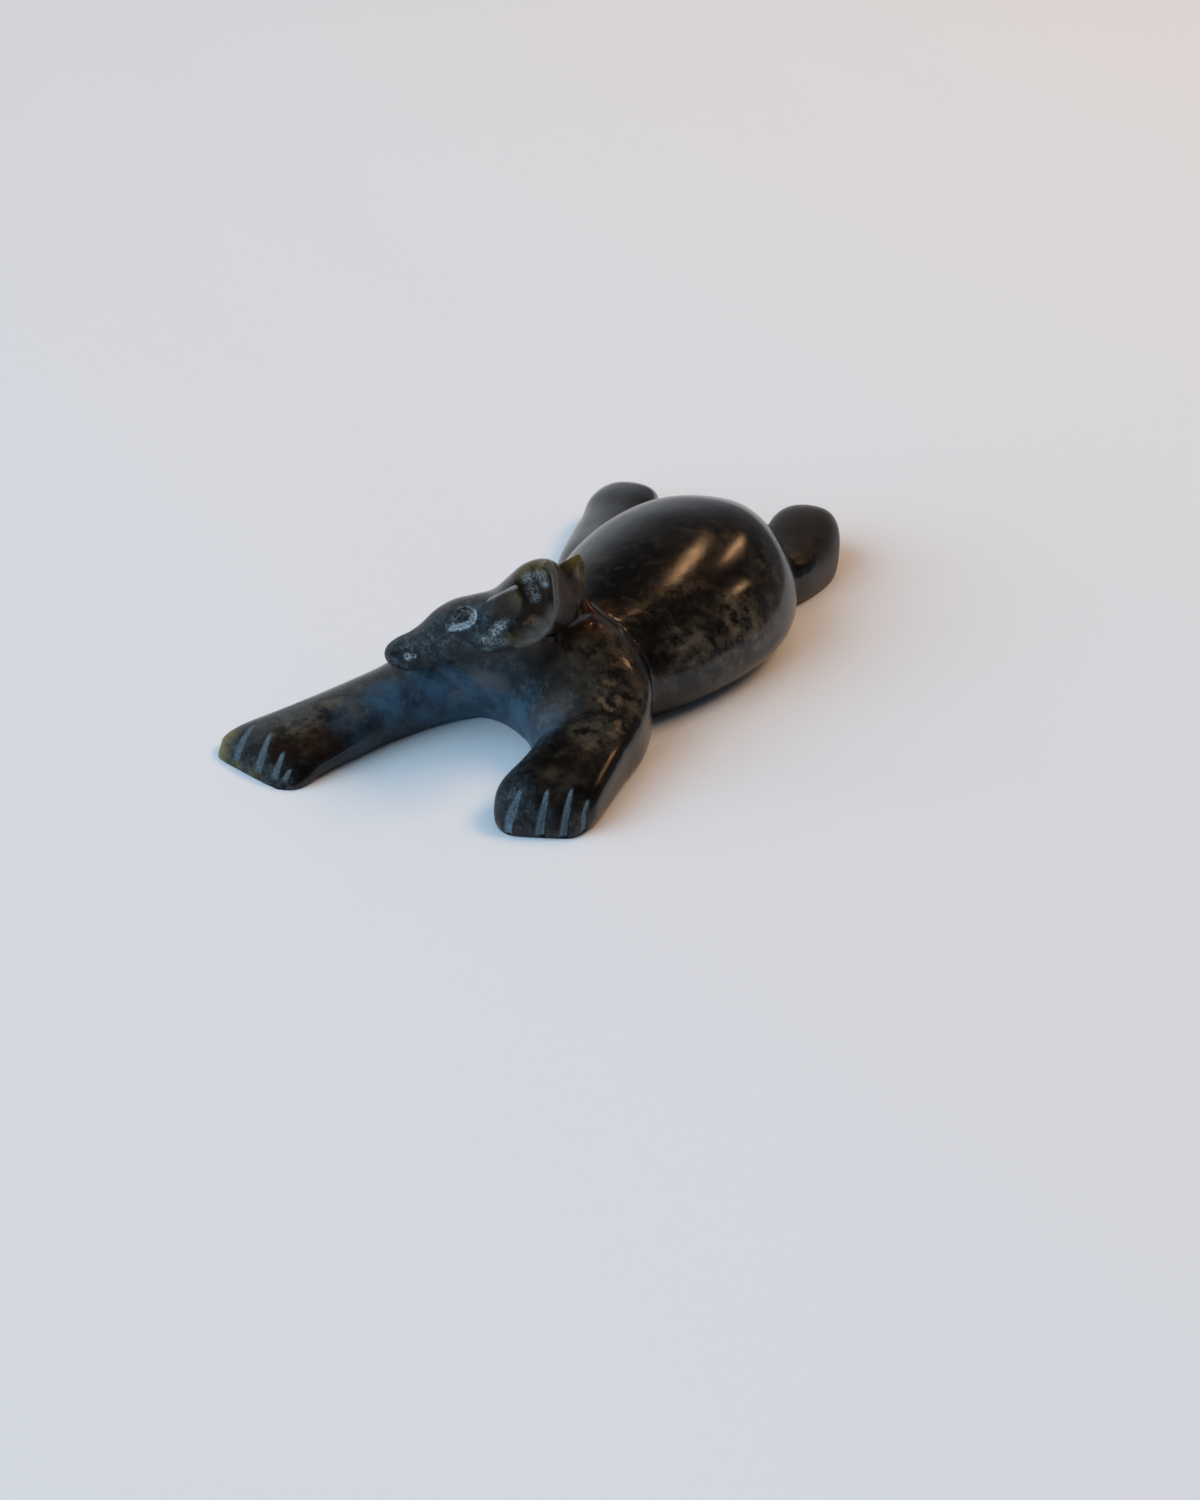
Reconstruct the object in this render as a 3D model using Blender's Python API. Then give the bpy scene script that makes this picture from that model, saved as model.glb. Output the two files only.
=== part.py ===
"""Soapstone bear, lying flat on its belly with all four legs stretched out: one solid carving.

The bear faces -Y and its own left side is +X.  Every size below is in millimetres and is
turned into metres by MM.  Forms are lofted through named stations, united into one skin,
softened as a polisher would soften them, carved with cutters and ground flat underneath.
"""
import bpy
import bmesh
import numpy as np
from math import cos, sin, pi
from mathutils import Matrix, Vector
from mathutils.bvhtree import BVHTree

MM = 0.001                      # millimetres to metres

# ---- driving sizes, millimetres -------------------------------------------------------------
BOX_CENTRE = (-1.53, 5.45)      # plan position of the middle of the whole carving's box
RING_POINTS = 40                # points round each section
STEPS = 6                       # rings between two stations
BODY_VOXEL = 0.9                # skin grid of the body
HEAD_VOXEL = 0.55               # skin grid once the head is on
BODY_SOFTEN = 6                 # smoothing passes on the body
HEAD_SOFTEN = 2                 # smoothing passes on the whole
FACES_WANTED = 8600             # triangles after thinning
GROUND_FLAT = 1e-4              # faces closer than this to straight down stay flat shaded
CLEAR = 60.0                    # well clear of the stone, where lines are cast from
STONE = (0.085, 0.075, 0.06)    # near-black olive brown
STONE_ROUGHNESS = 0.25          # hand polished

# Torso, from inside the chest to the rump:
# (x, y, z of the middle, half width to the right of the path, half width to its left, rise,
# drop, fullness)
TORSO = [
    (7.0, -22.0, 8.0, 13.0, 13.0, 9.5, 11.0, 2.2),
    (10.5, -11.0, 8.0, 17.4, 17.5, 12.0, 11.5, 2.2),
    (12.5, 0.0, 8.0, 22.4, 20.5, 13.5, 11.5, 2.2),
    (13.4, 12.0, 8.0, 25.8, 24.0, 15.5, 11.5, 2.2),
    (13.4, 24.0, 8.0, 26.9, 26.0, 16.7, 11.5, 2.2),
    (12.6, 36.0, 8.0, 24.4, 25.6, 17.0, 11.5, 2.2),
    (11.4, 47.0, 8.0, 18.0, 22.4, 15.5, 11.0, 2.2),
    (10.4, 55.5, 8.0, 11.0, 16.5, 11.4, 10.5, 2.1),
    (10.0, 60.5, 7.5, 6.0, 8.5, 6.2, 9.0, 2.0),
]

# Forelegs and shoulders, one yoke from the left paw across the back to the right paw:
# (x, y, z, right half width, left half width, rise, drop, fullness, share of the right half
# width at which a plain wall cuts the section off)
YOKE = [
    (28.8, -58.1, 2.6, 7.8, 7.4, 2.6, 4.0, 2.9, 1.0),
    (28.4, -55.9, 3.2, 9.8, 9.0, 3.8, 5.0, 2.9, 1.0),
    (27.8, -51.0, 3.8, 11.2, 9.8, 5.2, 6.4, 2.5, 0.95),
    (26.4, -43.0, 4.4, 11.8, 8.9, 6.2, 7.0, 2.3, 0.90),
    (25.2, -35.0, 5.0, 12.2, 8.5, 7.2, 7.5, 2.2, 0.86),
    (23.8, -27.5, 6.0, 12.6, 9.0, 9.2, 9.0, 2.2, 0.88),
    (20.2, -20.5, 7.5, 13.4, 10.5, 12.8, 11.0, 2.2, 0.87),
    (13.0, -16.5, 8.5, 13.5, 9.8, 15.6, 12.0, 2.2, 0.84),
    (4.0, -16.5, 8.5, 13.5, 8.2, 15.5, 12.0, 2.2, 0.85),
    (-5.0, -18.0, 8.0, 12.5, 8.2, 13.0, 11.5, 2.1, 1.0),
    (-12.0, -23.5, 7.0, 11.5, 9.6, 9.5, 10.5, 2.1, 1.0),
    (-16.6, -32.0, 5.6, 9.8, 8.6, 6.2, 8.5, 2.1, 1.0),
    (-21.2, -42.0, 4.6, 9.6, 8.8, 4.8, 7.0, 2.2, 1.0),
    (-26.4, -52.5, 3.6, 10.6, 11.0, 3.5, 5.8, 2.3, 1.0),
    (-30.8, -60.5, 2.8, 12.4, 12.4, 2.9, 5.0, 2.4, 1.0),
    (-32.6, -65.0, 2.2, 11.6, 11.6, 2.4, 4.2, 2.6, 1.0),
    (-33.4, -67.4, 1.8, 8.0, 8.6, 1.6, 3.2, 2.6, 1.0),
]

# Breast, filling the crutch between the forelegs; its right side looks forward
BREAST = [
    (-17.0, -24.5, 5.0, 6.4, 7.0, 5.0, 8.0, 2.0),
    (-9.0, -21.5, 6.0, 6.2, 8.0, 7.0, 9.0, 2.0),
    (0.0, -20.5, 6.5, 5.8, 8.0, 8.5, 10.0, 2.0),
    (8.0, -22.0, 6.5, 7.2, 8.0, 8.5, 10.0, 2.0),
    (15.0, -26.0, 6.0, 7.6, 8.0, 7.5, 9.0, 2.0),
    (21.0, -33.0, 5.0, 6.8, 7.0, 6.0, 8.0, 2.0),
]

# Hind legs, hip to toes: (x, y, z, right half width, left half width, rise, drop, fullness)
LEFT_HIND = [
    (19.0, 34.0, 6.5, 9.0, 9.0, 6.0, 9.0, 2.1),
    (21.0, 46.0, 6.0, 9.5, 10.0, 6.0, 9.0, 2.1),
    (23.6, 57.0, 5.5, 9.2, 9.0, 5.5, 8.0, 2.4),
    (23.8, 66.0, 5.8, 8.8, 9.5, 6.0, 8.0, 3.0),
    (21.6, 74.0, 5.8, 7.6, 8.2, 6.3, 8.0, 3.0),
    (20.5, 78.4, 5.6, 5.6, 6.4, 5.4, 7.0, 2.6),
    (20.2, 80.0, 5.4, 3.0, 3.6, 3.4, 5.0, 2.2),
]
RIGHT_HIND = [
    (6.0, 16.0, 6.0, 9.0, 9.5, 5.0, 9.0, 2.1),
    (-1.5, 26.0, 6.0, 12.0, 13.0, 6.8, 9.0, 2.1),
    (-8.5, 36.5, 6.0, 14.5, 12.2, 7.0, 8.8, 2.1),
    (-14.6, 47.0, 5.4, 12.6, 9.8, 6.0, 8.4, 2.1),
    (-18.8, 57.0, 5.0, 10.2, 8.5, 5.3, 8.0, 2.2),
    (-22.0, 66.0, 4.8, 8.8, 8.5, 4.8, 7.4, 2.6),
    (-24.0, 73.0, 4.4, 7.0, 6.8, 4.1, 6.6, 2.6),
    (-24.8, 76.0, 4.2, 3.6, 3.6, 2.6, 5.0, 2.2),
]

# Head: its own axes run nose-ward, to its left side and upward from the middle of the skull
SKULL = (10.0, -24.0, 30.0)     # middle of the skull
NOSE = (-17.6, -38.2, 17.0)     # tip of the nose, which sets the way the head points
# Sections nose to nape: (forward, left, up, left half, right half, rise, drop, fullness)
HEAD = [
    (33.8, 0.0, 0.1, 1.5, 1.5, 1.0, 1.2, 2.0),
    (32.6, 0.0, 0.0, 2.8, 2.8, 2.0, 2.5, 2.1),
    (30.6, 0.0, -0.3, 3.8, 3.8, 2.8, 3.5, 2.2),
    (28.0, 0.0, -0.4, 4.4, 4.4, 3.5, 4.4, 2.2),
    (25.0, 0.0, 0.0, 5.2, 5.2, 4.7, 5.0, 2.2),
    (21.0, 0.0, 0.4, 6.3, 6.3, 5.7, 5.2, 2.2),
    (17.0, 0.0, 0.6, 7.0, 7.0, 5.2, 5.6, 2.2),
    (13.0, 0.0, 0.3, 7.4, 7.4, 4.9, 6.2, 2.2),
    (9.0, 0.0, -0.2, 7.6, 7.6, 5.0, 6.6, 2.2),
    (5.0, 0.0, -0.4, 7.4, 7.4, 5.9, 6.8, 2.2),
    (1.0, 0.0, -0.4, 7.0, 7.0, 7.6, 7.0, 2.1),
    (-2.4, 0.0, -0.5, 6.4, 6.4, 8.3, 6.6, 2.1),
    (-5.0, 0.0, -0.4, 5.0, 4.8, 8.2, 5.2, 2.1),
    (-6.6, 0.0, -0.2, 2.6, 2.6, 6.4, 3.0, 2.0),
]

# Neck, level sections from the breast up into the jaw; the long way follows the head:
# (x, y, z, long half, short half)
NECK = [
    (2.0, -17.0, 3.0, 17.0, 8.0),
    (2.0, -19.0, 10.0, 16.5, 8.0),
    (2.0, -23.0, 16.0, 15.5, 7.4),
    (1.5, -26.5, 21.0, 14.0, 6.2),
    (2.0, -28.0, 26.0, 11.0, 4.5),
]
# Nape, level sections from between the shoulders up to the back of the head
NAPE = [
    (8.0, -10.5, 14.0, 10.0, 10.0),
    (8.5, -13.0, 20.0, 8.4, 8.4),
    (9.5, -15.8, 25.0, 6.4, 6.8),
    (11.0, -18.2, 29.0, 5.2, 5.6),
    (12.0, -19.0, 33.0, 3.6, 4.2),
]

# Ears, each the hull of a few balls: (forward, left, up, radius)
HOOD = [
    (-4.2, 1.5, 6.9, 1.0), (-5.0, 4.4, 4.6, 0.9), (-4.4, 6.0, 1.2, 0.9), (-1.0, 6.4, -3.2, 0.9),
    (2.6, 6.4, -4.6, 0.9), (6.2, 6.0, -4.2, 0.9), (8.0, 5.6, 0.0, 1.0), (2.0, 4.6, 5.6, 1.0),
    (0.0, 0.0, 0.0, 3.0),
]
FLAP = [
    (7.9, 5.8, 6.4, 0.8), (1.4, 7.8, 8.0, 0.6), (1.2, 7.4, 3.2, 0.6), (4.6, 7.2, 2.2, 0.8),
    (8.5, 6.0, 2.5, 0.9), (5.5, 4.0, 4.0, 1.2),
]
FAR_EAR = [
    (-9.0, -6.0, 3.6, 0.7), (-3.6, -4.0, 2.4, 1.4), (-8.6, -7.0, 0.4, 0.7), (-5.8, -6.0, -4.0, 0.8),
    (-4.0, -5.0, -6.0, 1.2), (-1.0, -4.0, -3.0, 3.0),
]
# Hollows scooped out of the ears: (forward, left, up, three radii)
HOLLOWS = [
    (-0.4, 9.2, 1.2, 4.2, 4.2, 6.0),
    (4.8, 8.2, 0.4, 1.5, 1.8, 1.5),
    (-10.6, -5.2, -1.2, 3.2, 2.0, 3.8),
]

# Graver lines, each a run of points with the line's half width at each
EYE_CENTRE = (14.8, 5.6, 3.4)   # forward, left and up of the left eye
EYE_LOOK = (0.0, 0.76, 0.65)    # the way that eye looks, on the same axes
EYE_HALF = (2.5, 2.0)           # half length and half height of its ring
EYE_GROOVE = 0.6                # half width of the ring's groove
EYE_TAPER = 0.35                # how much flatter the ring is at its front than at its back
EYE_POINTS = 28                 # points round the ring
GRAVER_DEPTH = 1.1              # depth of a line as a share of its half width
GRAVER_MARGIN = 0.5             # skin made finer this far beyond a line
TOE_POINTS = 8                  # steps along a toe groove
TOE_WIDE, TOE_NARROW = 1.15, 0.35   # share of a toe groove's half width, front and back
TOE_FOOT = -1.0                 # height where a toe groove runs out under the paw
MOUTH = [(31.0, 0.6, 0.35), (29.6, 0.6, 0.55), (28.2, -0.4, 0.5), (26.8, -1.4, 0.3)]
# Grooves between the toes, paw front to back: (x, y) of each end and half width
LEFT_TOES = [
    ((22.4, -61.0), (21.6, -52.0), 0.8), ((27.8, -63.0), (28.0, -51.5), 1.0),
    ((33.4, -63.0), (33.2, -52.5), 1.0), ((36.8, -61.0), (36.4, -53.5), 0.7),
]
RIGHT_TOES = [
    ((-37.6, -69.0), (-36.2, -57.5), 0.9), ((-32.6, -71.0), (-31.4, -59.0), 1.0),
    ((-27.0, -71.5), (-26.6, -61.0), 0.9), ((-22.2, -70.5), (-22.8, -64.0), 0.7),
]


def spline(rows, steps):
    """Rows of numbers joined by a smooth curve that passes through every row."""
    out = []
    last = len(rows) - 1
    for i in range(last):
        p0, p1 = rows[max(i - 1, 0)], rows[i]
        p2, p3 = rows[i + 1], rows[min(i + 2, last)]
        for k in range(steps):
            t = k / steps
            out.append([0.5 * (2 * b + (c - a) * t + (2 * a - 5 * b + 4 * c - d) * t * t
                               + (3 * b - a - 3 * c + d) * t ** 3)
                        for a, b, c, d in zip(p0, p1, p2, p3)])
    out.append(list(rows[last]))
    return out


def section(right, left, rise, drop, fullness, wall=1.0):
    """Flat section of a limb: a full oval whose right side may be cut off by a plain wall."""
    points = []
    for k in range(RING_POINTS):
        a = 2 * pi * k / RING_POINTS
        c, s = cos(a), sin(a)
        u = abs(c) ** (2 / fullness) * (right if c > 0 else -left)
        v = abs(s) ** (2 / fullness) * (rise if s > 0 else -drop)
        points.append((min(u, wall * right), v))
    return points


def solid_from_rings(name, rings):
    """Closed mesh object from rings of points, with a pole closing each end."""
    mesh = bpy.data.meshes.new(name)
    bm = bmesh.new()
    loops = [[bm.verts.new(Vector(p) * MM) for p in ring] for ring in rings]
    n = len(rings[0])
    for a, b in zip(loops, loops[1:]):
        for k in range(n):
            bm.faces.new((a[k], a[(k + 1) % n], b[(k + 1) % n], b[k]))
    for loop, flip in ((loops[0], True), (loops[-1], False)):
        pole = bm.verts.new(sum((v.co for v in loop), Vector()) / n)
        for k in range(n):
            pair = (loop[k], loop[(k + 1) % n])
            bm.faces.new((*(pair if flip else reversed(pair)), pole))
    bmesh.ops.recalc_face_normals(bm, faces=bm.faces)
    bm.to_mesh(mesh)
    bm.free()
    thing = bpy.data.objects.new(name, mesh)
    bpy.context.collection.objects.link(thing)
    return thing


def loft(name, stations):
    """Loft level sections along a path of stations; sections stand square to the path."""
    rows = spline(stations, STEPS)
    rings = []
    for i, row in enumerate(rows):
        ahead = Vector(rows[min(i + 1, len(rows) - 1)][:3]) - Vector(rows[max(i - 1, 0)][:3])
        ahead.normalize()
        across = ahead.cross(Vector((0, 0, 1))).normalized()
        above = across.cross(ahead)
        middle = Vector(row[:3])
        rings.append([middle + across * u + above * v for u, v in section(*row[3:])])
    return solid_from_rings(name, rings)


def apply_all(thing):
    """Turn the object's live modifiers into its mesh."""
    graph = bpy.context.evaluated_depsgraph_get()
    mesh = bpy.data.meshes.new_from_object(thing.evaluated_get(graph))
    old = thing.data
    thing.modifiers.clear()
    thing.data = mesh
    bpy.data.meshes.remove(old)


def unite(name, things, voxel, passes):
    """Several overlapping solids made into one skin, then softened."""
    bm = bmesh.new()
    for thing in things:
        bm.from_mesh(thing.data)
    mesh = bpy.data.meshes.new(name)
    bm.to_mesh(mesh)
    bm.free()
    for thing in things:
        bpy.data.objects.remove(thing)
    whole = bpy.data.objects.new(name, mesh)
    bpy.context.collection.objects.link(whole)
    skin = whole.modifiers.new("skin", "REMESH")
    skin.mode = "VOXEL"
    skin.voxel_size = voxel * MM
    if passes:
        soft = whole.modifiers.new("soften", "SMOOTH")
        soft.factor = 0.5
        soft.iterations = passes
    apply_all(whole)
    return whole


class HeadAxes:
    """Places (forward, left, up) sizes of the head in the carving."""
    origin = Vector(SKULL)
    forward = (Vector(NOSE) - Vector(SKULL)).normalized()
    left = Vector((0, 0, 1)).cross(forward).normalized()
    up = forward.cross(left)

    @classmethod
    def place(cls, f, l, u):
        return cls.origin + cls.direction(f, l, u)

    @classmethod
    def direction(cls, f, l, u):
        return cls.forward * f + cls.left * l + cls.up * u


def head_loft(name, stations):
    """Loft sections that stand square to the head's forward axis."""
    rings = []
    for f, l, u, left, right, rise, drop, fullness in spline(stations, STEPS):
        rings.append([HeadAxes.place(f, l + a, u + b)
                      for a, b in section(left, right, rise, drop, fullness)])
    return solid_from_rings(name, rings)


def level_loft(name, stations):
    """Loft level oval sections whose long way follows the head."""
    along = Vector((HeadAxes.forward.x, HeadAxes.forward.y, 0)).normalized()
    across = HeadAxes.left
    rings = []
    for x, y, z, long_half, short_half in spline(stations, STEPS):
        rings.append([Vector((x, y, z)) + along * a + across * b
                      for a, b in section(long_half, long_half, short_half, short_half, 2.0)])
    return solid_from_rings(name, rings)


def ball_hull(name, balls):
    """Skin stretched over a few balls placed by the head's axes."""
    bm = bmesh.new()
    for f, l, u, radius in balls:
        bmesh.ops.create_icosphere(bm, subdivisions=2, radius=radius * MM,
                                   matrix=Matrix.Translation(HeadAxes.place(f, l, u) * MM))
    hull = bmesh.ops.convex_hull(bm, input=bm.verts)
    bmesh.ops.delete(bm, geom=list({v for key in ("geom_interior", "geom_unused")
                                    for v in hull[key] if isinstance(v, bmesh.types.BMVert)}),
                     context="VERTS")
    return from_bmesh(name, bm)


def ellipsoid(name, f, l, u, radii):
    """Egg-shaped cutter lying along the head's axes."""
    turn = Matrix((HeadAxes.forward, HeadAxes.left, HeadAxes.up)).transposed().to_4x4()
    bm = bmesh.new()
    bmesh.ops.create_icosphere(
        bm, subdivisions=3, radius=MM,
        matrix=Matrix.Translation(HeadAxes.place(f, l, u) * MM) @ turn
        @ Matrix.Diagonal((*radii, 1)))
    return from_bmesh(name, bm)


def from_bmesh(name, bm):
    """New linked object from a bmesh."""
    bmesh.ops.recalc_face_normals(bm, faces=bm.faces)
    mesh = bpy.data.meshes.new(name)
    bm.to_mesh(mesh)
    bm.free()
    thing = bpy.data.objects.new(name, mesh)
    bpy.context.collection.objects.link(thing)
    return thing


def on_surface(tree, outside, inward):
    """First point of the stone met from a point outside it."""
    hit = tree.ray_cast(outside * MM, inward)[0]
    return hit / MM


def engrave(thing, lines):
    """Sink graver lines into the skin; a line is its points and its half width at each."""
    bm = bmesh.new()
    bm.from_mesh(thing.data)
    for fine in (True, False):
        at = np.array([v.co for v in bm.verts]) / MM
        sink = np.zeros(len(at))
        for points, halves in lines:
            start, end = np.array(points[:-1]), np.array(points[1:])
            for p, q, h, k in zip(start, end, halves[:-1], halves[1:]):
                along = np.clip((at - p) @ (q - p) / ((q - p) @ (q - p)), 0, 1)
                away = np.linalg.norm(at - p - along[:, None] * (q - p), axis=1)
                half = h + (k - h) * along
                if fine:
                    sink = np.maximum(sink, away < half + GRAVER_MARGIN)
                else:
                    sink = np.maximum(sink, half * GRAVER_DEPTH
                                      * np.clip(1 - (away / half) ** 2, 0, 1))
        if fine:
            edges = [e for e in bm.edges
                     if sink[e.verts[0].index] and sink[e.verts[1].index]]
            bmesh.ops.subdivide_edges(bm, edges=edges, cuts=1, use_grid_fill=True)
            bm.verts.index_update()
            bm.normal_update()
    moves = [(v, v.normal * float(d) * MM) for v, d in zip(bm.verts, sink) if d > 0]
    for v, move in moves:
        v.co -= move
    bm.to_mesh(thing.data)
    bm.free()


def scoop(whole, cutter):
    """Take a cutter out of the stone and keep it hidden as a guide."""
    boolean = whole.modifiers.new(cutter.name, "BOOLEAN")
    boolean.operation = "DIFFERENCE"
    boolean.solver = "EXACT"
    boolean.object = cutter
    apply_all(whole)
    cutter.hide_render = True
    cutter.display_type = "WIRE"


# ---- clear the scene ------------------------------------------------------------------------
for thing in list(bpy.data.objects):
    bpy.data.objects.remove(thing)

# ---- body, then head and ears ---------------------------------------------------------------
body = unite("body", [loft("torso", TORSO), loft("yoke", YOKE), loft("breast", BREAST),
                      loft("left_hind", LEFT_HIND), loft("right_hind", RIGHT_HIND),
                      level_loft("neck", NECK), level_loft("nape", NAPE)],
             BODY_VOXEL, BODY_SOFTEN)
whole = unite("bear_carving", [body, head_loft("head", HEAD), ball_hull("hood", HOOD),
                               ball_hull("flap", FLAP), ball_hull("far_ear", FAR_EAR)],
              HEAD_VOXEL, HEAD_SOFTEN)

# ---- carve the hollows, eye, mouth and toes -------------------------------------------------
for i, (f, l, u, *radii) in enumerate(HOLLOWS):
    scoop(whole, ellipsoid(f"hollow_{i}", f, l, u, radii))

bm = bmesh.new()
bm.from_mesh(whole.data)
tree = BVHTree.FromBMesh(bm)
bm.free()
lines = []
look = HeadAxes.direction(*EYE_LOOK)
brow = look.cross(HeadAxes.forward).normalized()
ring = []
for k in range(EYE_POINTS + 1):
    a = 2 * pi * k / EYE_POINTS
    flat = HeadAxes.place(*EYE_CENTRE) + HeadAxes.forward * EYE_HALF[0] * cos(a)
    flat += brow * EYE_HALF[1] * sin(a) * (1 - EYE_TAPER * cos(a))
    ring.append(on_surface(tree, flat + look * CLEAR, -look))
lines.append((ring, [EYE_GROOVE] * len(ring)))

rows = spline(MOUTH, STEPS)
lines.append(([on_surface(tree, HeadAxes.place(f, CLEAR, u), -HeadAxes.left)
               for f, u, half in rows], [half for f, u, half in rows]))

for front, back, half in LEFT_TOES + RIGHT_TOES:
    points, halves = [], []
    for k in range(TOE_POINTS + 1):
        t = k / TOE_POINTS
        plan = Vector(front).lerp(Vector(back), t)
        hit = tree.ray_cast(Vector((*plan, CLEAR)) * MM, Vector((0, 0, -1)))[0]
        if hit:
            points.append(Vector((*plan, hit.z / MM)))
            halves.append(half * (TOE_WIDE + (TOE_NARROW - TOE_WIDE) * t))
    foot = points[0].copy()
    foot.z = TOE_FOOT
    points.insert(0, foot)
    halves.insert(0, halves[0])
    lines.append((points, halves))
engrave(whole, lines)

# ---- thin the skin and grind the underside flat ---------------------------------------------
thin = whole.modifiers.new("thin", "DECIMATE")
thin.ratio = FACES_WANTED / sum(len(face.vertices) - 2 for face in whole.data.polygons)
apply_all(whole)
bm = bmesh.new()
bm.from_mesh(whole.data)
ground = bmesh.ops.bisect_plane(bm, geom=bm.verts[:] + bm.edges[:] + bm.faces[:],
                                plane_co=(0, 0, 0), plane_no=(0, 0, -1), clear_outer=True)
bmesh.ops.holes_fill(bm, edges=[e for e in ground["geom_cut"]
                                if isinstance(e, bmesh.types.BMEdge)], sides=0)
bmesh.ops.recalc_face_normals(bm, faces=bm.faces)
bm.transform(Matrix.Translation((-BOX_CENTRE[0] * MM, -BOX_CENTRE[1] * MM, 0)))
for face in bm.faces:
    face.smooth = abs(face.normal.z + 1) > GROUND_FLAT
bm.to_mesh(whole.data)
bm.free()

# ---- polished stone -------------------------------------------------------------------------
stone = bpy.data.materials.new("soapstone")
stone.use_nodes = True
shader = stone.node_tree.nodes["Principled BSDF"]
shader.inputs["Base Color"].default_value = (*STONE, 1.0)
shader.inputs["Roughness"].default_value = STONE_ROUGHNESS
shader.inputs["Metallic"].default_value = 0.0
whole.data.materials.clear()
whole.data.materials.append(stone)
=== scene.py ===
from math import cos, pi, radians, sin
import bpy
import bmesh
import numpy as np
from mathutils import Matrix, Vector
from mathutils.bvhtree import BVHTree


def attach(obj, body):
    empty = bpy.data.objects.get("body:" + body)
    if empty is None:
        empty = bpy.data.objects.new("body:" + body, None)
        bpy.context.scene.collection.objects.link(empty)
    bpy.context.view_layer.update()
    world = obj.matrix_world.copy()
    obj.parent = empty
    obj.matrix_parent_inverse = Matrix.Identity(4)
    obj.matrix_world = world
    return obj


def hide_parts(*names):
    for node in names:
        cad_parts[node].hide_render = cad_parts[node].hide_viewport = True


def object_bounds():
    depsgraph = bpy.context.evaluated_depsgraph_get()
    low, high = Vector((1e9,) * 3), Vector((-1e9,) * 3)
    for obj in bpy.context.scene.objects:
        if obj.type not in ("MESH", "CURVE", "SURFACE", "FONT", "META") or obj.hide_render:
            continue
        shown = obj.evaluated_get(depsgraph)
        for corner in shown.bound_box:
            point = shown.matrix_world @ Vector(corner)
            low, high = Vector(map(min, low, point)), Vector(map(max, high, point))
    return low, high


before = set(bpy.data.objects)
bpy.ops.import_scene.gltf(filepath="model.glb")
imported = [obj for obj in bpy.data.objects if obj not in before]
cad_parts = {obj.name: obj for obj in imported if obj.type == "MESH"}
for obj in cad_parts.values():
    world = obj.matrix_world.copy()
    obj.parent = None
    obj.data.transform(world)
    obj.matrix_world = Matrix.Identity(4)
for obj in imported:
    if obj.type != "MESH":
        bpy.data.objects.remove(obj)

CAD_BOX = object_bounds()
CAD_MIDDLE = (CAD_BOX[0] + CAD_BOX[1]) / 2

MM = 0.001                      # every size below is in millimetres; MM makes it metres

# ---- sizes of the stone ---------------------------------------------------------------------
RING_POINTS = 40                # points round each section
STEPS = 6                       # rings between two stations
BODY_GRAIN = 0.62               # skin grid of the body
BODY_SOFTEN = (3, 34)           # rubbing down of the body, all over and away from the ridge
HEAD_GRAIN = 0.31               # skin grid of the head and its ears
HEAD_SOFTEN = (2, 4)            # rubbing down of the head, before and after its ear is cut
PLAIN_SOFTEN = 60               # further rubbing down behind the ear
STONE_SOFTEN = 3                # rubbing down of the whole
RUB = 0.5                       # how far one pass of rubbing down moves the skin
GROUP_LEVELS = 64               # steps of a vertex group's weight

# Middle of the carving's plan box, on the axes that every (x, y, z) below is given on
PLAN_MIDDLE = (-1.53, 5.45)

# Torso, from inside the chest to the rump: (x, y, z of the middle, half width to the right of
# the path, half width to its left, rise, drop, fullness)
TORSO = [
    (7.0, -22.0, 8.0, 13.0, 13.0, 9.5, 11.0, 2.2),
    (10.5, -11.0, 8.0, 17.4, 17.5, 12.0, 11.5, 2.2),
    (12.5, 0.0, 8.0, 22.4, 20.5, 13.5, 11.5, 2.2),
    (13.4, 12.0, 8.0, 25.8, 24.0, 15.5, 11.5, 2.2),
    (13.4, 24.0, 8.0, 26.9, 26.0, 16.7, 11.5, 2.2),
    (12.6, 36.0, 8.0, 24.4, 25.6, 17.0, 11.5, 2.2),
    (11.4, 47.0, 8.0, 18.0, 22.4, 15.5, 11.0, 2.2),
    (10.4, 55.5, 8.0, 11.0, 16.5, 11.4, 10.5, 2.1),
    (10.0, 60.5, 7.5, 6.0, 8.5, 6.2, 9.0, 2.0),
]

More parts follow.
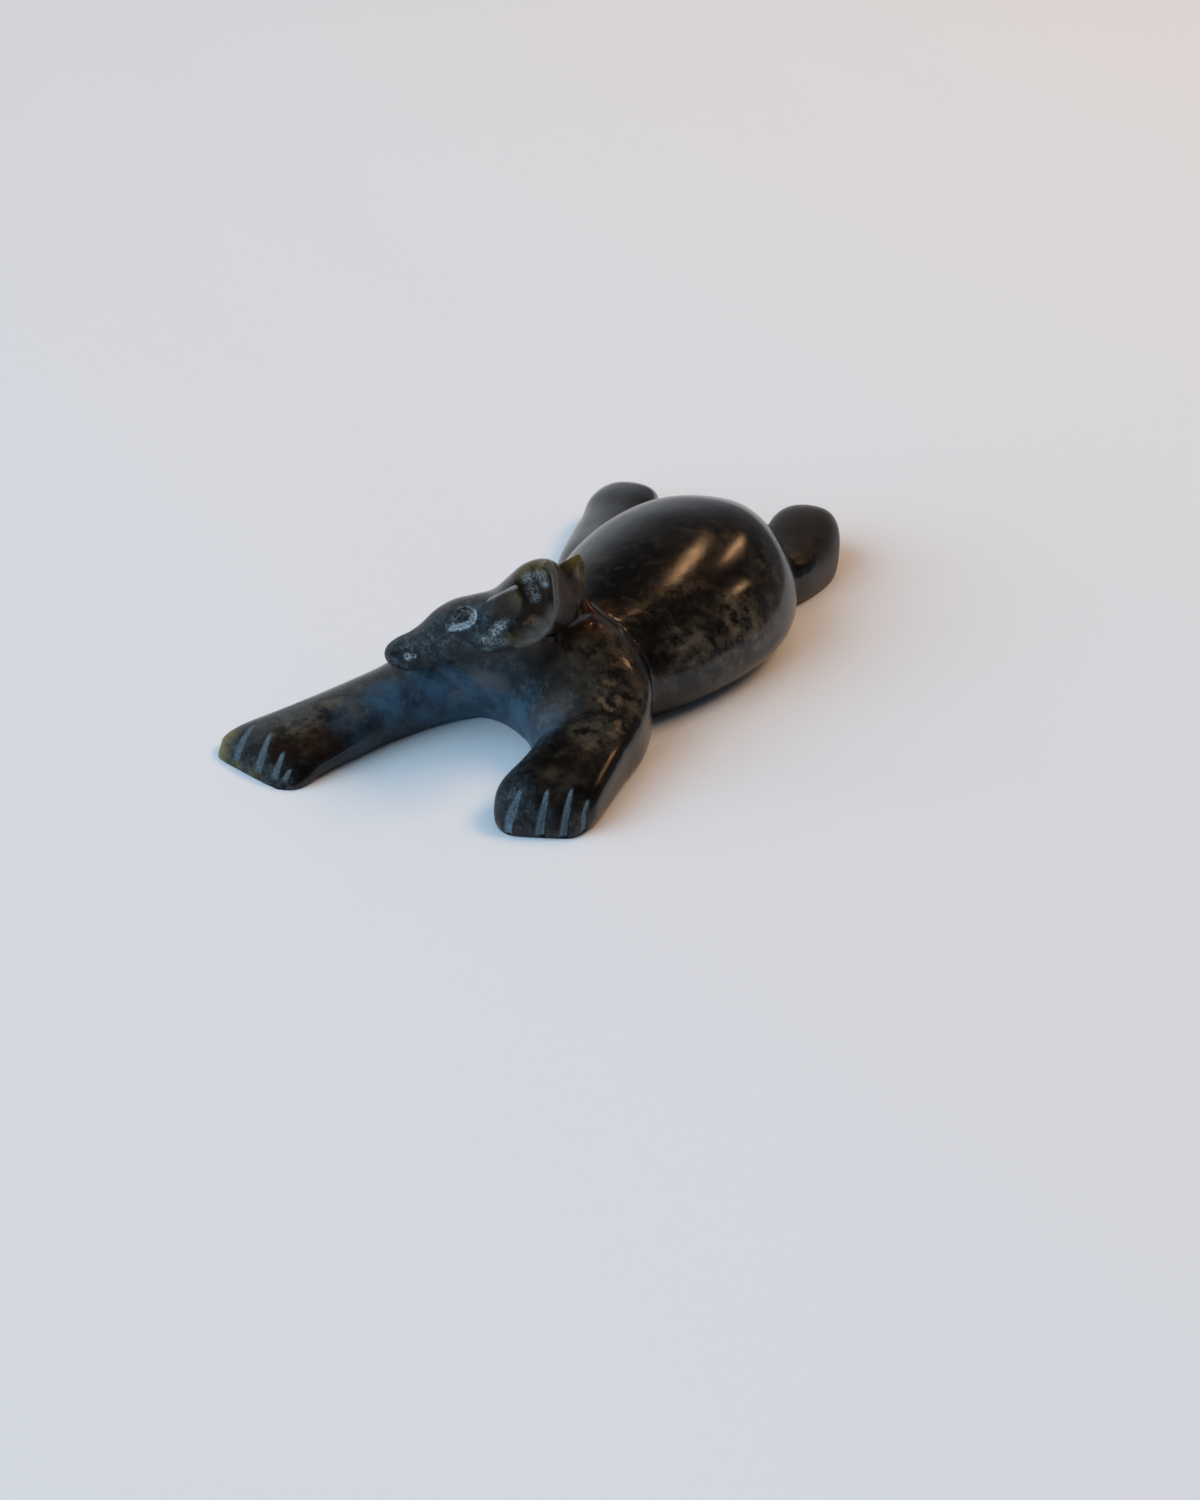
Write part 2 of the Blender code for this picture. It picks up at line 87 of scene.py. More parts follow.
# Forelegs and shoulders, one yoke from the left paw across the back to the right paw:
# (x, y, z, right half width, left half width, rise, drop, fullness, share of the right half
# width at which a plain wall cuts the section off)
YOKE = [
    (29.8, -58.6, -0.2, 6.9, 5.6, 1.5, 3.0, 2.4, 1.0),
    (29.2, -57.3, 0.6, 8.8, 7.6, 2.5, 4.0, 2.5, 1.0),
    (28.5, -55.8, 1.6, 10.0, 9.0, 3.3, 4.5, 2.5, 1.0),
    (27.9, -54.0, 2.7, 10.8, 9.6, 4.0, 5.0, 2.5, 1.0),
    (27.3, -51.0, 3.8, 11.6, 10.1, 5.2, 6.4, 2.4, 0.95),
    (26.4, -43.0, 4.4, 11.8, 8.9, 6.2, 7.0, 2.3, 0.90),
    (25.2, -35.0, 5.0, 12.2, 8.5, 7.2, 7.5, 2.2, 0.86),
    (23.8, -27.5, 6.0, 12.6, 9.0, 9.2, 9.0, 2.2, 0.88),
    (20.2, -20.5, 7.5, 13.4, 10.5, 12.8, 11.0, 2.2, 0.87),
    (13.0, -16.5, 8.5, 13.5, 9.8, 15.6, 12.0, 2.2, 0.84),
    (4.0, -16.5, 8.5, 13.5, 8.2, 15.5, 12.0, 2.2, 0.85),
    (-5.0, -18.0, 8.0, 12.5, 8.2, 13.0, 11.5, 2.1, 1.0),
    (-12.0, -23.5, 7.0, 11.5, 9.6, 9.5, 10.5, 2.1, 1.0),
    (-16.6, -32.0, 5.6, 9.8, 8.6, 6.2, 8.5, 2.1, 1.0),
    (-21.2, -42.0, 4.6, 9.6, 8.8, 5.4, 7.0, 2.2, 1.0),
    (-26.4, -52.5, 3.5, 10.6, 11.0, 4.3, 5.8, 2.2, 1.0),
    (-30.6, -60.2, 2.3, 12.2, 12.9, 3.2, 5.0, 2.1, 1.0),
    (-31.2, -63.2, 1.3, 12.0, 12.8, 2.9, 4.4, 2.1, 1.0),
    (-31.8, -65.8, 0.4, 11.2, 11.7, 2.3, 4.0, 2.1, 1.0),
    (-32.2, -67.6, -0.3, 9.8, 9.2, 1.4, 3.2, 2.2, 1.0),
]

# Breast, filling the crutch between the forelegs; its right side looks forward
BREAST = [
    (-17.0, -24.5, 5.0, 6.4, 7.0, 5.0, 8.0, 2.0),
    (-9.0, -21.5, 6.0, 6.2, 8.0, 7.0, 9.0, 2.0),
    (0.0, -20.5, 6.5, 5.8, 8.0, 8.5, 10.0, 2.0),
    (8.0, -22.0, 6.5, 7.2, 8.0, 8.5, 10.0, 2.0),
    (15.0, -26.0, 6.0, 7.6, 8.0, 7.5, 9.0, 2.0),
    (21.0, -33.0, 5.0, 6.8, 7.0, 6.0, 8.0, 2.0),
]

# Hind legs, hip to toes: (x, y, z, right half width, left half width, rise, drop, fullness)
LEFT_HIND = [
    (19.0, 34.0, 6.5, 9.0, 9.0, 6.0, 9.0, 2.1),
    (21.0, 46.0, 6.0, 9.5, 10.0, 6.0, 9.0, 2.1),
    (23.6, 57.0, 5.5, 9.2, 8.6, 5.5, 9.5, 2.6),
    (23.8, 66.0, 5.8, 8.8, 9.2, 6.0, 11.0, 3.0),
    (21.6, 74.0, 5.8, 7.6, 8.4, 6.3, 11.0, 3.0),
    (20.5, 78.4, 5.6, 5.6, 6.4, 5.4, 9.0, 2.6),
    (20.2, 80.0, 5.4, 3.0, 3.6, 3.4, 5.0, 2.2),
]
RIGHT_HIND = [
    (6.0, 16.0, 6.0, 9.0, 9.5, 5.0, 9.0, 2.1),
    (-1.5, 26.0, 6.0, 12.0, 13.0, 6.8, 9.0, 2.1),
    (-8.5, 36.5, 6.0, 14.5, 12.2, 7.0, 8.8, 2.1),
    (-14.6, 47.0, 5.4, 12.6, 9.8, 6.0, 8.4, 2.1),
    (-18.8, 57.0, 5.0, 10.2, 8.5, 5.3, 8.0, 2.2),
    (-22.0, 66.0, 4.8, 8.8, 8.5, 4.8, 7.4, 2.6),
    (-24.0, 73.0, 4.4, 7.0, 6.8, 4.1, 6.6, 2.6),
    (-24.8, 76.0, 4.2, 3.6, 3.6, 2.6, 5.0, 2.2),
]

# Head: its own axes run nose-ward, to its left side and upward from the middle of the skull
SKULL = (10.0, -24.0, 30.0)     # middle of the skull
NOSE = (-17.6, -38.2, 17.0)     # tip of the nose, which sets the way the head points
# Sections nose to nape: (forward, left, up, left half, right half, rise, drop, fullness)
HEAD = [
    (33.9, 0.0, 0.0, 1.5, 1.5, 1.0, 1.3, 2.0),
    (32.8, 0.0, -0.1, 2.8, 2.8, 2.0, 2.8, 2.1),
    (30.6, 0.0, -0.3, 3.7, 3.7, 2.8, 4.0, 2.2),
    (28.0, 0.0, -0.4, 4.1, 4.1, 3.1, 5.0, 2.2),
    (25.0, 0.0, 0.0, 4.6, 4.6, 3.5, 5.5, 2.2),
    (21.0, 0.0, 0.4, 5.9, 5.9, 4.8, 5.5, 2.2),
    (17.0, 0.0, 0.6, 7.0, 7.0, 5.2, 5.6, 2.2),
    (13.0, 0.0, 0.3, 7.4, 7.4, 4.9, 6.2, 2.2),
    (9.0, 0.0, -0.2, 7.6, 7.6, 5.0, 6.6, 2.2),
    (5.0, 0.0, -0.4, 7.4, 7.4, 6.8, 6.8, 2.2),
    (1.0, 0.0, -0.4, 7.0, 7.0, 8.6, 7.0, 2.1),
    (-2.4, 0.0, -0.5, 6.4, 6.4, 9.0, 6.6, 2.1),
    (-5.0, 0.0, -0.4, 5.0, 4.8, 8.2, 5.2, 2.1),
    (-6.6, 0.0, -0.2, 2.6, 2.6, 6.4, 3.0, 2.0),
]

# Neck, level sections from the breast up into the jaw; the long way follows the head:
# (x, y, z, long half, short half)
NECK = [
    (2.0, -17.0, 3.0, 17.0, 8.0),
    (2.0, -19.0, 10.0, 16.5, 8.0),
    (2.0, -23.0, 16.0, 15.5, 7.4),
    (1.5, -26.5, 21.0, 14.0, 6.2),
    (2.0, -28.0, 26.0, 11.0, 4.5),
]
# Nape, level sections from between the shoulders up to the back of the head
NAPE = [
    (8.0, -10.5, 14.0, 10.0, 10.0),
    (8.5, -13.0, 20.0, 8.4, 8.4),
    (9.5, -15.8, 25.0, 6.4, 6.8),
    (11.0, -18.2, 29.0, 5.2, 5.6),
    (12.0, -19.0, 33.0, 3.6, 4.2),
]

# Near ear.  Its rim, crest to jaw, in the head's axes: (forward, left, up)
RIM = [
    (-5.3, 1.5, 8.0), (-6.0, 3.5, 6.7), (-5.5, 5.0, 5.0), (-4.9, 5.6, 2.7), (-4.3, 6.0, 0.8),
    (-2.7, 6.3, -1.4), (-0.8, 6.4, -3.4), (1.3, 6.4, -4.4), (3.8, 6.3, -4.8), (6.2, 6.0, -4.6),
]
RIM_HALF = 0.7                  # half thickness of the rim
# Body of the ear behind the rim and the bowl cut into it: (forward, left, up, radius)
HOOD_CORE = [(0.0, 0.0, 0.0, 3.0), (1.6, 3.4, 6.0, 1.0), (7.6, 5.4, -1.0, 1.2)]
BOWL = [
    (-4.3, 2.3, 7.2, 0.5), (-4.9, 4.0, 6.1, 0.5), (-4.5, 5.2, 4.7, 0.5), (-3.9, 5.8, 2.6, 0.5),
    (-3.2, 6.2, 1.0, 0.5), (-1.8, 6.5, -0.9, 0.5), (0.0, 6.6, -2.5, 0.5), (1.8, 6.6, -3.4, 0.5),
    (4.2, 6.6, -3.5, 0.5), (5.6, 7.0, -1.4, 0.8), (3.4, 6.6, 2.6, 1.0), (0.4, 5.4, 6.2, 1.0),
    (-2.4, 2.8, 5.4, 1.2), (-2.6, 4.0, 3.0, 1.2), (-1.0, 4.2, 0.6, 1.3), (1.4, 4.6, -0.6, 1.3),
    (3.0, 5.0, 1.0, 1.2), (1.6, 3.6, 7.0, 0.8), (-1.6, 2.4, 8.2, 0.7),
]
BOWL_OUT = (-1.5, 8.0, 2.5)     # the way and distance the bowl opens
# Front leaf of the ear, standing on the cheek
LEAF = [
    (8.6, 2.2, 4.9, 0.5), (8.2, 3.7, 4.3, 0.5), (7.4, 5.6, 2.2, 0.6), (1.4, 6.6, 7.8, 0.45),
    (1.2, 7.6, 5.4, 0.45), (3.0, 7.6, 2.2, 0.5), (6.0, 4.4, 2.0, 0.8), (6.0, 2.4, 4.4, 0.8),
]
FAR_EAR = [
    (-9.5, -6.0, 3.9, 0.5), (-4.4, -4.0, 2.6, 1.6), (-9.5, -6.4, 1.4, 0.55),
    (-7.9, -6.2, -1.8, 0.6), (-5.6, -5.8, -4.4, 0.8), (-4.2, -5.0, -6.0, 1.2),
    (-4.0, -3.0, -3.0, 3.0), (-5.4, -1.8, 0.4, 1.4),
]
LEAF_CUT = [
    (7.9, 7.0, 4.4, 0.9), (7.6, 7.6, 2.8, 0.9), (2.2, 8.5, 6.4, 0.8), (3.4, 8.8, 2.8, 0.8),
    (7.0, 12.0, 6.0, 1.0), (3.0, 12.0, 6.0, 1.0),
]
# Throat, between the jaw and the chest
THROAT = [
    (21.0, 0.6, -6.2, 2.0), (11.0, 2.4, -6.2, 3.0), (3.0, 3.0, -6.6, 3.6), (16.0, -1.0, -12.0, 2.5),
    (5.0, -1.5, -16.0, 4.0),
]
# Small hollows: (forward, left, up) of the middle, and three radii
EAR_PIT = (5.2, 7.4, 0.3), (1.2, 1.6, 1.4)
FAR_HOLLOW = (-10.0, -5.0, 0.4), (1.7, 1.5, 2.6)
# Where the further rubbing behind the ear starts and where it is full
RIM_REACH = (1.1, 2.2)          # distance from the rim
BEHIND_EAR = (-1.6, -3.0)       # forward on the head
BETWEEN_EARS = (-3.0, -1.0)     # left on the head
FINE_GRAIN = 0.25               # skin grid of the ears' cutters
FINE_SOFTEN = 25                # rubbing down of the bowl's cutter

# Ridge down the outside of the near shoulder and foreleg, which stays crisp: (x, y, z)
RIDGE = [
    (38.3, -54.0, 4.0), (38.0, -48.9, 5.9), (36.7, -41.9, 7.4), (35.5, -33.5, 8.8),
    (33.8, -24.1, 11.6), (30.8, -16.8, 14.5), (24.2, -8.8, 18.0), (13.9, -3.5, 21.0),
    (4.0, -3.5, 21.0),
]
RIDGE_REACH = (2.0, 5.0)        # rubbing down starts and is full this far from the ridge

# Eye: an almond ring graved into the skin
EYE_CENTRE = (15.0, 4.8, 4.25)  # forward, left and up of the left eye
EYE_LOOK = (0.0, 0.76, 0.65)    # the way that eye looks, on the same axes
EYE_HALF = (2.8, 1.65)          # half length and half height of its ring
EYE_TAPER = 0.65                # how much flatter the ring is at its front than at its back
EYE_TILT = radians(18)          # how far the ring's front end dips
EYE_POINTS = 28                 # points round the ring
EYE_GROOVE = (0.55, 0.55)       # half width and depth of the ring's groove
# Mouth: (forward, up, half width, depth) along the left of the muzzle
MOUTH = [
    (31.8, 1.3, 0.4, 0.3), (30.6, 1.1, 0.9, 0.8), (29.0, 0.5, 0.8, 0.5), (26.8, -0.5, 0.7, 0.2),
]

# Cuts between the toes, front to back: (x, y) of each end of the cut's foot line
LEFT_TOES = [
    ((25.0, -59.5), (24.3, -55.0)), ((31.2, -59.0), (29.3, -53.2)),
    ((35.5, -58.0), (33.4, -50.8)), ((37.9, -56.0), (37.0, -50.8)),
]
RIGHT_TOES = [
    ((-35.0, -67.5), (-37.6, -56.6)), ((-28.2, -69.5), (-31.8, -58.8)),
    ((-24.0, -70.0), (-26.0, -62.8)), ((-22.0, -70.0), (-22.4, -65.6)),
]
STEEP_WALL, EASY_WALL = 0.4, 2.0   # widths of a cut's two walls
EASY_LEAST = 0.3                # share of the easy wall's width left at the cut's rear end
TOE_DEPTH = 1.0                 # depth of a cut at its front end
TOE_POINTS = 8                  # steps along a cut
TOE_LOWEST = 0.5                # a cut's line lies only where the paw is higher than this
TOE_FOOT, TOE_FOOT_SHARE = -1.0, 0.6   # height and share of depth where a cut leaves the paw
TOE_GROUND = (0.0, 0.3)         # heights between which a cut dies out at the ground
# A cut's easy wall, the side that faces the light, is painted pale where its slope and its share of
# depth have risen past these, and above a height that differs by paw, below which it darkens; the
# steep wall stays dark
PALE_SLOPE, PALE_DEPTH = (0.0, 0.4), (0.0, 0.3)
LEFT_PALE, RIGHT_PALE = 0.6, 2.6
PALE_LOWEST = 0.3               # share of that height at which it is quite dark
# Reaches round the eye, the mouth and the toes within which the skin is made finer, twice
FINER_REACH = [(1.3, 1.4, 2.6), (0.8, 0.9, 1.3)]
GRAVED_SOFTEN = 2               # rubbing down of what is graved
CLEAR = 60.0                    # well clear of the stone, where lines are cast from


# ---- working by hand ------------------------------------------------------------------------
def put_down():
    """Leave edit mode and drop every selection."""
    if bpy.context.object and bpy.context.object.mode != "OBJECT":
        bpy.ops.object.mode_set(mode="OBJECT")
    bpy.ops.object.select_all(action="DESELECT")


def take(thing):
    """Select one object and make it the active one."""
    put_down()
    thing.select_set(True)
    bpy.context.view_layer.objects.active = thing


def apply(thing, kind, **settings):
    """Add a modifier, set it and apply it."""
    take(thing)
    modifier = thing.modifiers.new(kind.lower(), kind)
    for key, value in settings.items():
        setattr(modifier, key, value)
    bpy.ops.object.modifier_apply(modifier=modifier.name)


def rub(thing, passes, where=""):
    """Rub the skin down, all over or by a vertex group."""
    apply(thing, "SMOOTH", factor=RUB, iterations=passes, vertex_group=where)


def spline(rows, steps):
    """Rows of numbers joined by a smooth curve that passes through every row."""
    out = []
    last = len(rows) - 1
    for i in range(last):
        p0, p1 = rows[max(i - 1, 0)], rows[i]
        p2, p3 = rows[i + 1], rows[min(i + 2, last)]
        for k in range(steps):
            t = k / steps
            out.append([0.5 * (2 * b + (c - a) * t + (2 * a - 5 * b + 4 * c - d) * t * t
                               + (3 * b - a - 3 * c + d) * t ** 3)
                        for a, b, c, d in zip(p0, p1, p2, p3)])
    out.append(list(rows[last]))
    return out


def section(right, left, rise, drop, fullness, wall=1.0):
    """Flat section of a limb: a full oval whose right side may be cut off by a plain wall."""
    points = []
    for k in range(RING_POINTS):
        a = 2 * pi * k / RING_POINTS
        c, s = cos(a), sin(a)
        u = abs(c) ** (2 / fullness) * (right if c > 0 else -left)
        v = abs(s) ** (2 / fullness) * (rise if s > 0 else -drop)
        points.append((min(u, wall * right), v))
    return points


def drawn_out(name, rings):
    """A disc extruded ring after ring, each new ring pressed into its own section."""
    put_down()
    bpy.ops.mesh.primitive_circle_add(vertices=RING_POINTS, radius=MM, fill_type="NGON")
    thing = bpy.context.object
    thing.name = name
    bpy.ops.object.mode_set(mode="EDIT")
    bpy.ops.mesh.select_all(action="SELECT")
    bm = bmesh.from_edit_mesh(thing.data)
    bm.verts.ensure_lookup_table()
    before = [v.co.copy() for v in bm.verts]
    for ring in rings:
        places = [Vector(p) * MM for p in ring]
        if ring is not rings[0]:
            bpy.ops.mesh.extrude_region_move()
            bm = bmesh.from_edit_mesh(thing.data)
        for v in [v for v in bm.verts if v.select]:
            k = min(range(RING_POINTS), key=lambda k: (before[k] - v.co).length_squared)
            v.co = places[k]
        bmesh.update_edit_mesh(thing.data)
        before = places
    bpy.ops.mesh.select_all(action="SELECT")
    bpy.ops.mesh.normals_make_consistent(inside=False)
    put_down()
    return thing


def loft(name, stations):
    """Sections along a path of stations; each stands square to the path."""
    rows = spline(stations, STEPS)
    rings = []
    for i, row in enumerate(rows):
        ahead = Vector(rows[min(i + 1, len(rows) - 1)][:3]) - Vector(rows[max(i - 1, 0)][:3])
        ahead.normalize()
        across = ahead.cross(Vector((0, 0, 1))).normalized()
        above = across.cross(ahead)
        middle = Vector(row[:3])
        rings.append([middle + across * u + above * v for u, v in section(*row[3:])])
    return drawn_out(name, rings)


HEAD_FORWARD = (Vector(NOSE) - Vector(SKULL)).normalized()
HEAD_LEFT = Vector((0, 0, 1)).cross(HEAD_FORWARD).normalized()
HEAD_UP = HEAD_FORWARD.cross(HEAD_LEFT)
HEAD_TURN = Matrix((HEAD_FORWARD, HEAD_LEFT, HEAD_UP)).transposed()


def on_head(forward, left, up):
    """Place in the carving of a place given in the head's axes."""
    return Vector(SKULL) + HEAD_TURN @ Vector((forward, left, up))


def head_loft(name, stations):
    """Sections that stand square to the head's forward axis."""
    return drawn_out(name, [[on_head(f, l + a, u + b) for a, b in section(*sizes)]
                            for f, l, u, *sizes in spline(stations, STEPS)])


def level_loft(name, stations):
    """Level oval sections whose long way follows the head."""
    along = Vector((HEAD_FORWARD.x, HEAD_FORWARD.y, 0)).normalized()
    rings = []
    for x, y, z, long_half, short_half in spline(stations, STEPS):
        oval = section(long_half, long_half, short_half, short_half, 2.0)
        rings.append([Vector((x, y, z)) + along * a + HEAD_LEFT * b for a, b in oval])
    return drawn_out(name, rings)


def hull(name, balls):
    """Skin stretched over a few balls placed by the head's axes."""
    put_down()
    first = True
    for f, l, u, radius in balls:
        bpy.ops.mesh.primitive_ico_sphere_add(subdivisions=3, radius=radius * MM,
                                              location=on_head(f, l, u) * MM)
        if first:
            thing = bpy.context.object
            bpy.ops.object.transform_apply()
            bpy.ops.object.mode_set(mode="EDIT")
            first = False
    bpy.ops.mesh.select_all(action="SELECT")
    bpy.ops.mesh.convex_hull()
    put_down()
    thing.name = name
    return thing


def egg(name, place, radii):
    """Egg-shaped cutter lying along the head's axes."""
    put_down()
    bpy.ops.mesh.primitive_ico_sphere_add(subdivisions=5, radius=1, location=on_head(*place) * MM,
                                          rotation=HEAD_TURN.to_euler(),
                                          scale=[r * MM for r in radii])
    bpy.ops.object.transform_apply()
    bpy.context.object.name = name
    return bpy.context.object


def unite(name, things, grain, passes):
    """Several overlapping solids made into one skin, then rubbed down."""
    whole = things[0]
    take(whole)
    for thing in things[1:]:
        thing.select_set(True)
    if len(things) > 1:
        bpy.ops.object.join()
    whole.name = name
    apply(whole, "REMESH", mode="VOXEL", voxel_size=grain * MM)
    rub(whole, passes)
    return whole


def scoop(whole, cutter):
    """Take a cutter out of the stone."""
    apply(whole, "BOOLEAN", operation="DIFFERENCE", solver="EXACT", object=cutter)
    bpy.data.objects.remove(cutter)


def corners(thing):
    """Places of a mesh's corners, in millimetres."""
    at = np.empty(len(thing.data.vertices) * 3, np.float32)
    thing.data.vertices.foreach_get("co", at)
    return at.reshape(-1, 3) / MM


def in_head(at):
    """Places given in the head's axes instead of the carving's."""
    return (at - np.array(SKULL)) @ np.array(HEAD_TURN)


def ramp(value, low, high):
    """0 below low, 1 above high and a smooth rise between."""
    t = np.clip((value - low) / (high - low), 0, 1)
    return t * t * (3 - 2 * t)


def group(thing, name, share):
    """Vertex group from a share between 0 and 1 at each corner."""
    made = thing.vertex_groups.new(name=name)
    level = np.rint(share * GROUP_LEVELS).astype(int)
    for k in np.unique(level[level > 0]):
        made.add(np.flatnonzero(level == k).tolist(), k / GROUP_LEVELS, "REPLACE")
    return name


def finer(thing, chosen):
    """Halve the faces whose corners are all chosen."""
    take(thing)
    bpy.ops.object.mode_set(mode="EDIT")
    bpy.ops.mesh.select_mode(type="VERT")
    bpy.ops.mesh.select_all(action="DESELECT")
    bpy.ops.object.mode_set(mode="OBJECT")
    thing.data.vertices.foreach_set("select", chosen)
    bpy.ops.object.mode_set(mode="EDIT")
    bpy.ops.mesh.subdivide(number_cuts=1)
    put_down()


def nearest_on_line(at, points, values):
    """Distance of each place to a run of points, the value there and the signed side step."""
    points, values = np.array(points), np.array(values)
    course = points[-1] - points[0]
    right = np.array((course[1], -course[0], 0)) / max(np.hypot(course[0], course[1]), 1e-6)
    best = np.full(len(at), np.inf)
    value, aside = np.zeros(len(at)), np.zeros(len(at))
    for p, q, a, b in zip(points[:-1], points[1:], values[:-1], values[1:]):
        along = np.clip((at - p) @ (q - p) / ((q - p) @ (q - p)), 0, 1)
        off = at - p - along[:, None] * (q - p)
        away = np.linalg.norm(off, axis=1)
        closer = away < best
        best[closer] = away[closer]
        value[closer] = (a + (b - a) * along)[closer]
        aside[closer] = (off @ right)[closer]
    return best, value, aside


def away_from(at, points):
    """Distance of each place to a run of points."""
    return nearest_on_line(at, points, np.zeros(len(points)))[0]


# ---- rough out the body ---------------------------------------------------------------------
body = unite("body", [loft("torso", TORSO), loft("yoke", YOKE), loft("breast", BREAST),
                      loft("left_hind", LEFT_HIND), loft("right_hind", RIGHT_HIND),
                      level_loft("neck", NECK), level_loft("nape", NAPE),
                      hull("throat", THROAT)],
             BODY_GRAIN, BODY_SOFTEN[0])
ridge_away = away_from(corners(body), RIDGE)
rub(body, BODY_SOFTEN[1], group(body, "rubbed", ramp(ridge_away, *RIDGE_REACH)))

# ---- carve the head with its ears -----------------------------------------------------------
hood = hull("hood", [(f, l, u, RIM_HALF) for f, l, u in RIM] + HOOD_CORE)
head = unite("head", [head_loft("face", HEAD), hood], HEAD_GRAIN, HEAD_SOFTEN[0])
opening = [(f + BOWL_OUT[0], l + BOWL_OUT[1], u + BOWL_OUT[2], r) for f, l, u, r in BOWL]
scoop(head, unite("bowl", [hull("bowl", BOWL + opening)], FINE_GRAIN, FINE_SOFTEN))
scoop(head, egg("ear_pit", *EAR_PIT))
scoop(head, hull("leaf_cut", LEAF_CUT))
far_ear = hull("far_ear", FAR_EAR)
scoop(far_ear, egg("far_hollow", *FAR_HOLLOW))
head = unite("head", [head, hull("leaf", LEAF), far_ear], HEAD_GRAIN, HEAD_SOFTEN[1])
home = in_head(corners(head))
behind = ramp(home[:, 0], *BEHIND_EAR) * ramp(home[:, 1], *BETWEEN_EARS)
plain = ramp(away_from(home, RIM), *RIM_REACH) * behind
rub(head, PLAIN_SOFTEN, group(head, "plain", plain))

# ---- set the head on the body ---------------------------------------------------------------
bear = body
bear.name = "bear_stone"
apply(bear, "BOOLEAN", operation="UNION", solver="EXACT", object=head)
bpy.data.objects.remove(head)
rub(bear, STONE_SOFTEN)

# ---- grind the underside flat ---------------------------------------------------------------
take(bear)
bpy.ops.object.mode_set(mode="EDIT")
bpy.ops.mesh.select_all(action="SELECT")
bpy.ops.mesh.bisect(plane_co=(0, 0, 0), plane_no=(0, 0, 1), use_fill=True, clear_inner=True,
                    threshold=1e-7)
put_down()

# ---- grave the eye, the mouth and the toes --------------------------------------------------
skin = BVHTree.FromPolygons([tuple(v) for v in corners(bear)],
                            [tuple(face.vertices) for face in bear.data.polygons])
look = HEAD_TURN @ Vector(EYE_LOOK)
cheek = look.cross(HEAD_FORWARD).normalized()
ring = []
for k in range(EYE_POINTS + 1):
    turn = 2 * pi * k / EYE_POINTS
    along = EYE_HALF[0] * cos(turn)
    across = EYE_HALF[1] * sin(turn) * (1 - EYE_TAPER * cos(turn))
    flat = on_head(*EYE_CENTRE)
    flat += HEAD_FORWARD * (along * cos(EYE_TILT) - across * sin(EYE_TILT))
    flat += cheek * (across * cos(EYE_TILT) + along * sin(EYE_TILT))
    ring.append(skin.ray_cast(flat + look * CLEAR, -look)[0])
mouth_rows = spline(MOUTH, STEPS)
mouth_line = [skin.ray_cast(on_head(f, CLEAR, u), -HEAD_LEFT)[0] for f, u, _, _ in mouth_rows]


def toe_cut(front, rear):
    """Line of a cut over the paw: its points, and there its shares of the depth and width."""
    points, depths, widths = [], [], []
    for k in range(TOE_POINTS + 1):
        share = k / TOE_POINTS
        plan = Vector(front).lerp(Vector(rear), share)
        hit = skin.ray_cast(Vector((*plan, CLEAR)), Vector((0, 0, -1)))[0]
        if hit and hit.z > TOE_LOWEST:
            points.append(hit)
            depths.append(1 - share ** 2)
            widths.append(1 - share)
    foot = Vector((*points[0].xy, TOE_FOOT))
    return [foot] + points, [TOE_FOOT_SHARE] + depths, [1.0] + widths


cuts = [(toe_cut(*ends), LEFT_PALE) for ends in LEFT_TOES]
cuts += [(toe_cut(*ends), RIGHT_PALE) for ends in RIGHT_TOES]


def near_lines(at, eye_reach, mouth_reach, toe_reach):
    """True at each corner within these reaches of something graved."""
    near = away_from(at, ring) < eye_reach
    near |= away_from(at, mouth_line) < mouth_reach
    for (points, _, _), _ in cuts:
        near |= away_from(at, points) < toe_reach
    return near


for reaches in FINER_REACH:
    finer(bear, near_lines(corners(bear), *reaches))
at = corners(bear)
shaded_hollow = np.clip(1 - (away_from(at, ring) / EYE_GROOVE[0]) ** 2, 0, 1)
depth = EYE_GROOVE[1] * shaded_hollow
mouth_away, mouth_half, _ = nearest_on_line(at, mouth_line, [row[2] for row in mouth_rows])
_, mouth_depth, _ = nearest_on_line(at, mouth_line, [row[3] for row in mouth_rows])
lips = np.clip(1 - (mouth_away / mouth_half) ** 2, 0, 1)
depth = np.maximum(depth, mouth_depth * lips)
# the eye groove and the mouth are painted dark as shade in the cut
shaded_hollow = np.maximum(shaded_hollow, lips)
lit_facet = np.zeros(len(at))
for (points, depths, widths), pale_height in cuts:
    away, deep, aside = nearest_on_line(at, points, depths)
    _, broad, _ = nearest_on_line(at, points, widths)
    easy = EASY_WALL * (EASY_LEAST + (1 - EASY_LEAST) * broad)
    slope = np.clip(1 - away / np.where(aside < 0, easy, STEEP_WALL), 0, 1)
    depth = np.maximum(depth, TOE_DEPTH * deep * slope * ramp(at[:, 2], *TOE_GROUND))
    pale = ramp(slope, *PALE_SLOPE) * ramp(deep, *PALE_DEPTH)
    pale *= ramp(at[:, 2], PALE_LOWEST * pale_height, pale_height)
    # only the easy wall, on the lit side, is painted pale: painted light as well as the filed stone's
    # paleness
    lit_facet = np.maximum(lit_facet, pale * (aside < 0))
deepest = float(depth.max())
graved = group(bear, "graved", depth / deepest)
apply(bear, "DISPLACE", strength=-deepest * MM, mid_level=0.0, vertex_group=graved)
rub(bear, GRAVED_SOFTEN, graved)

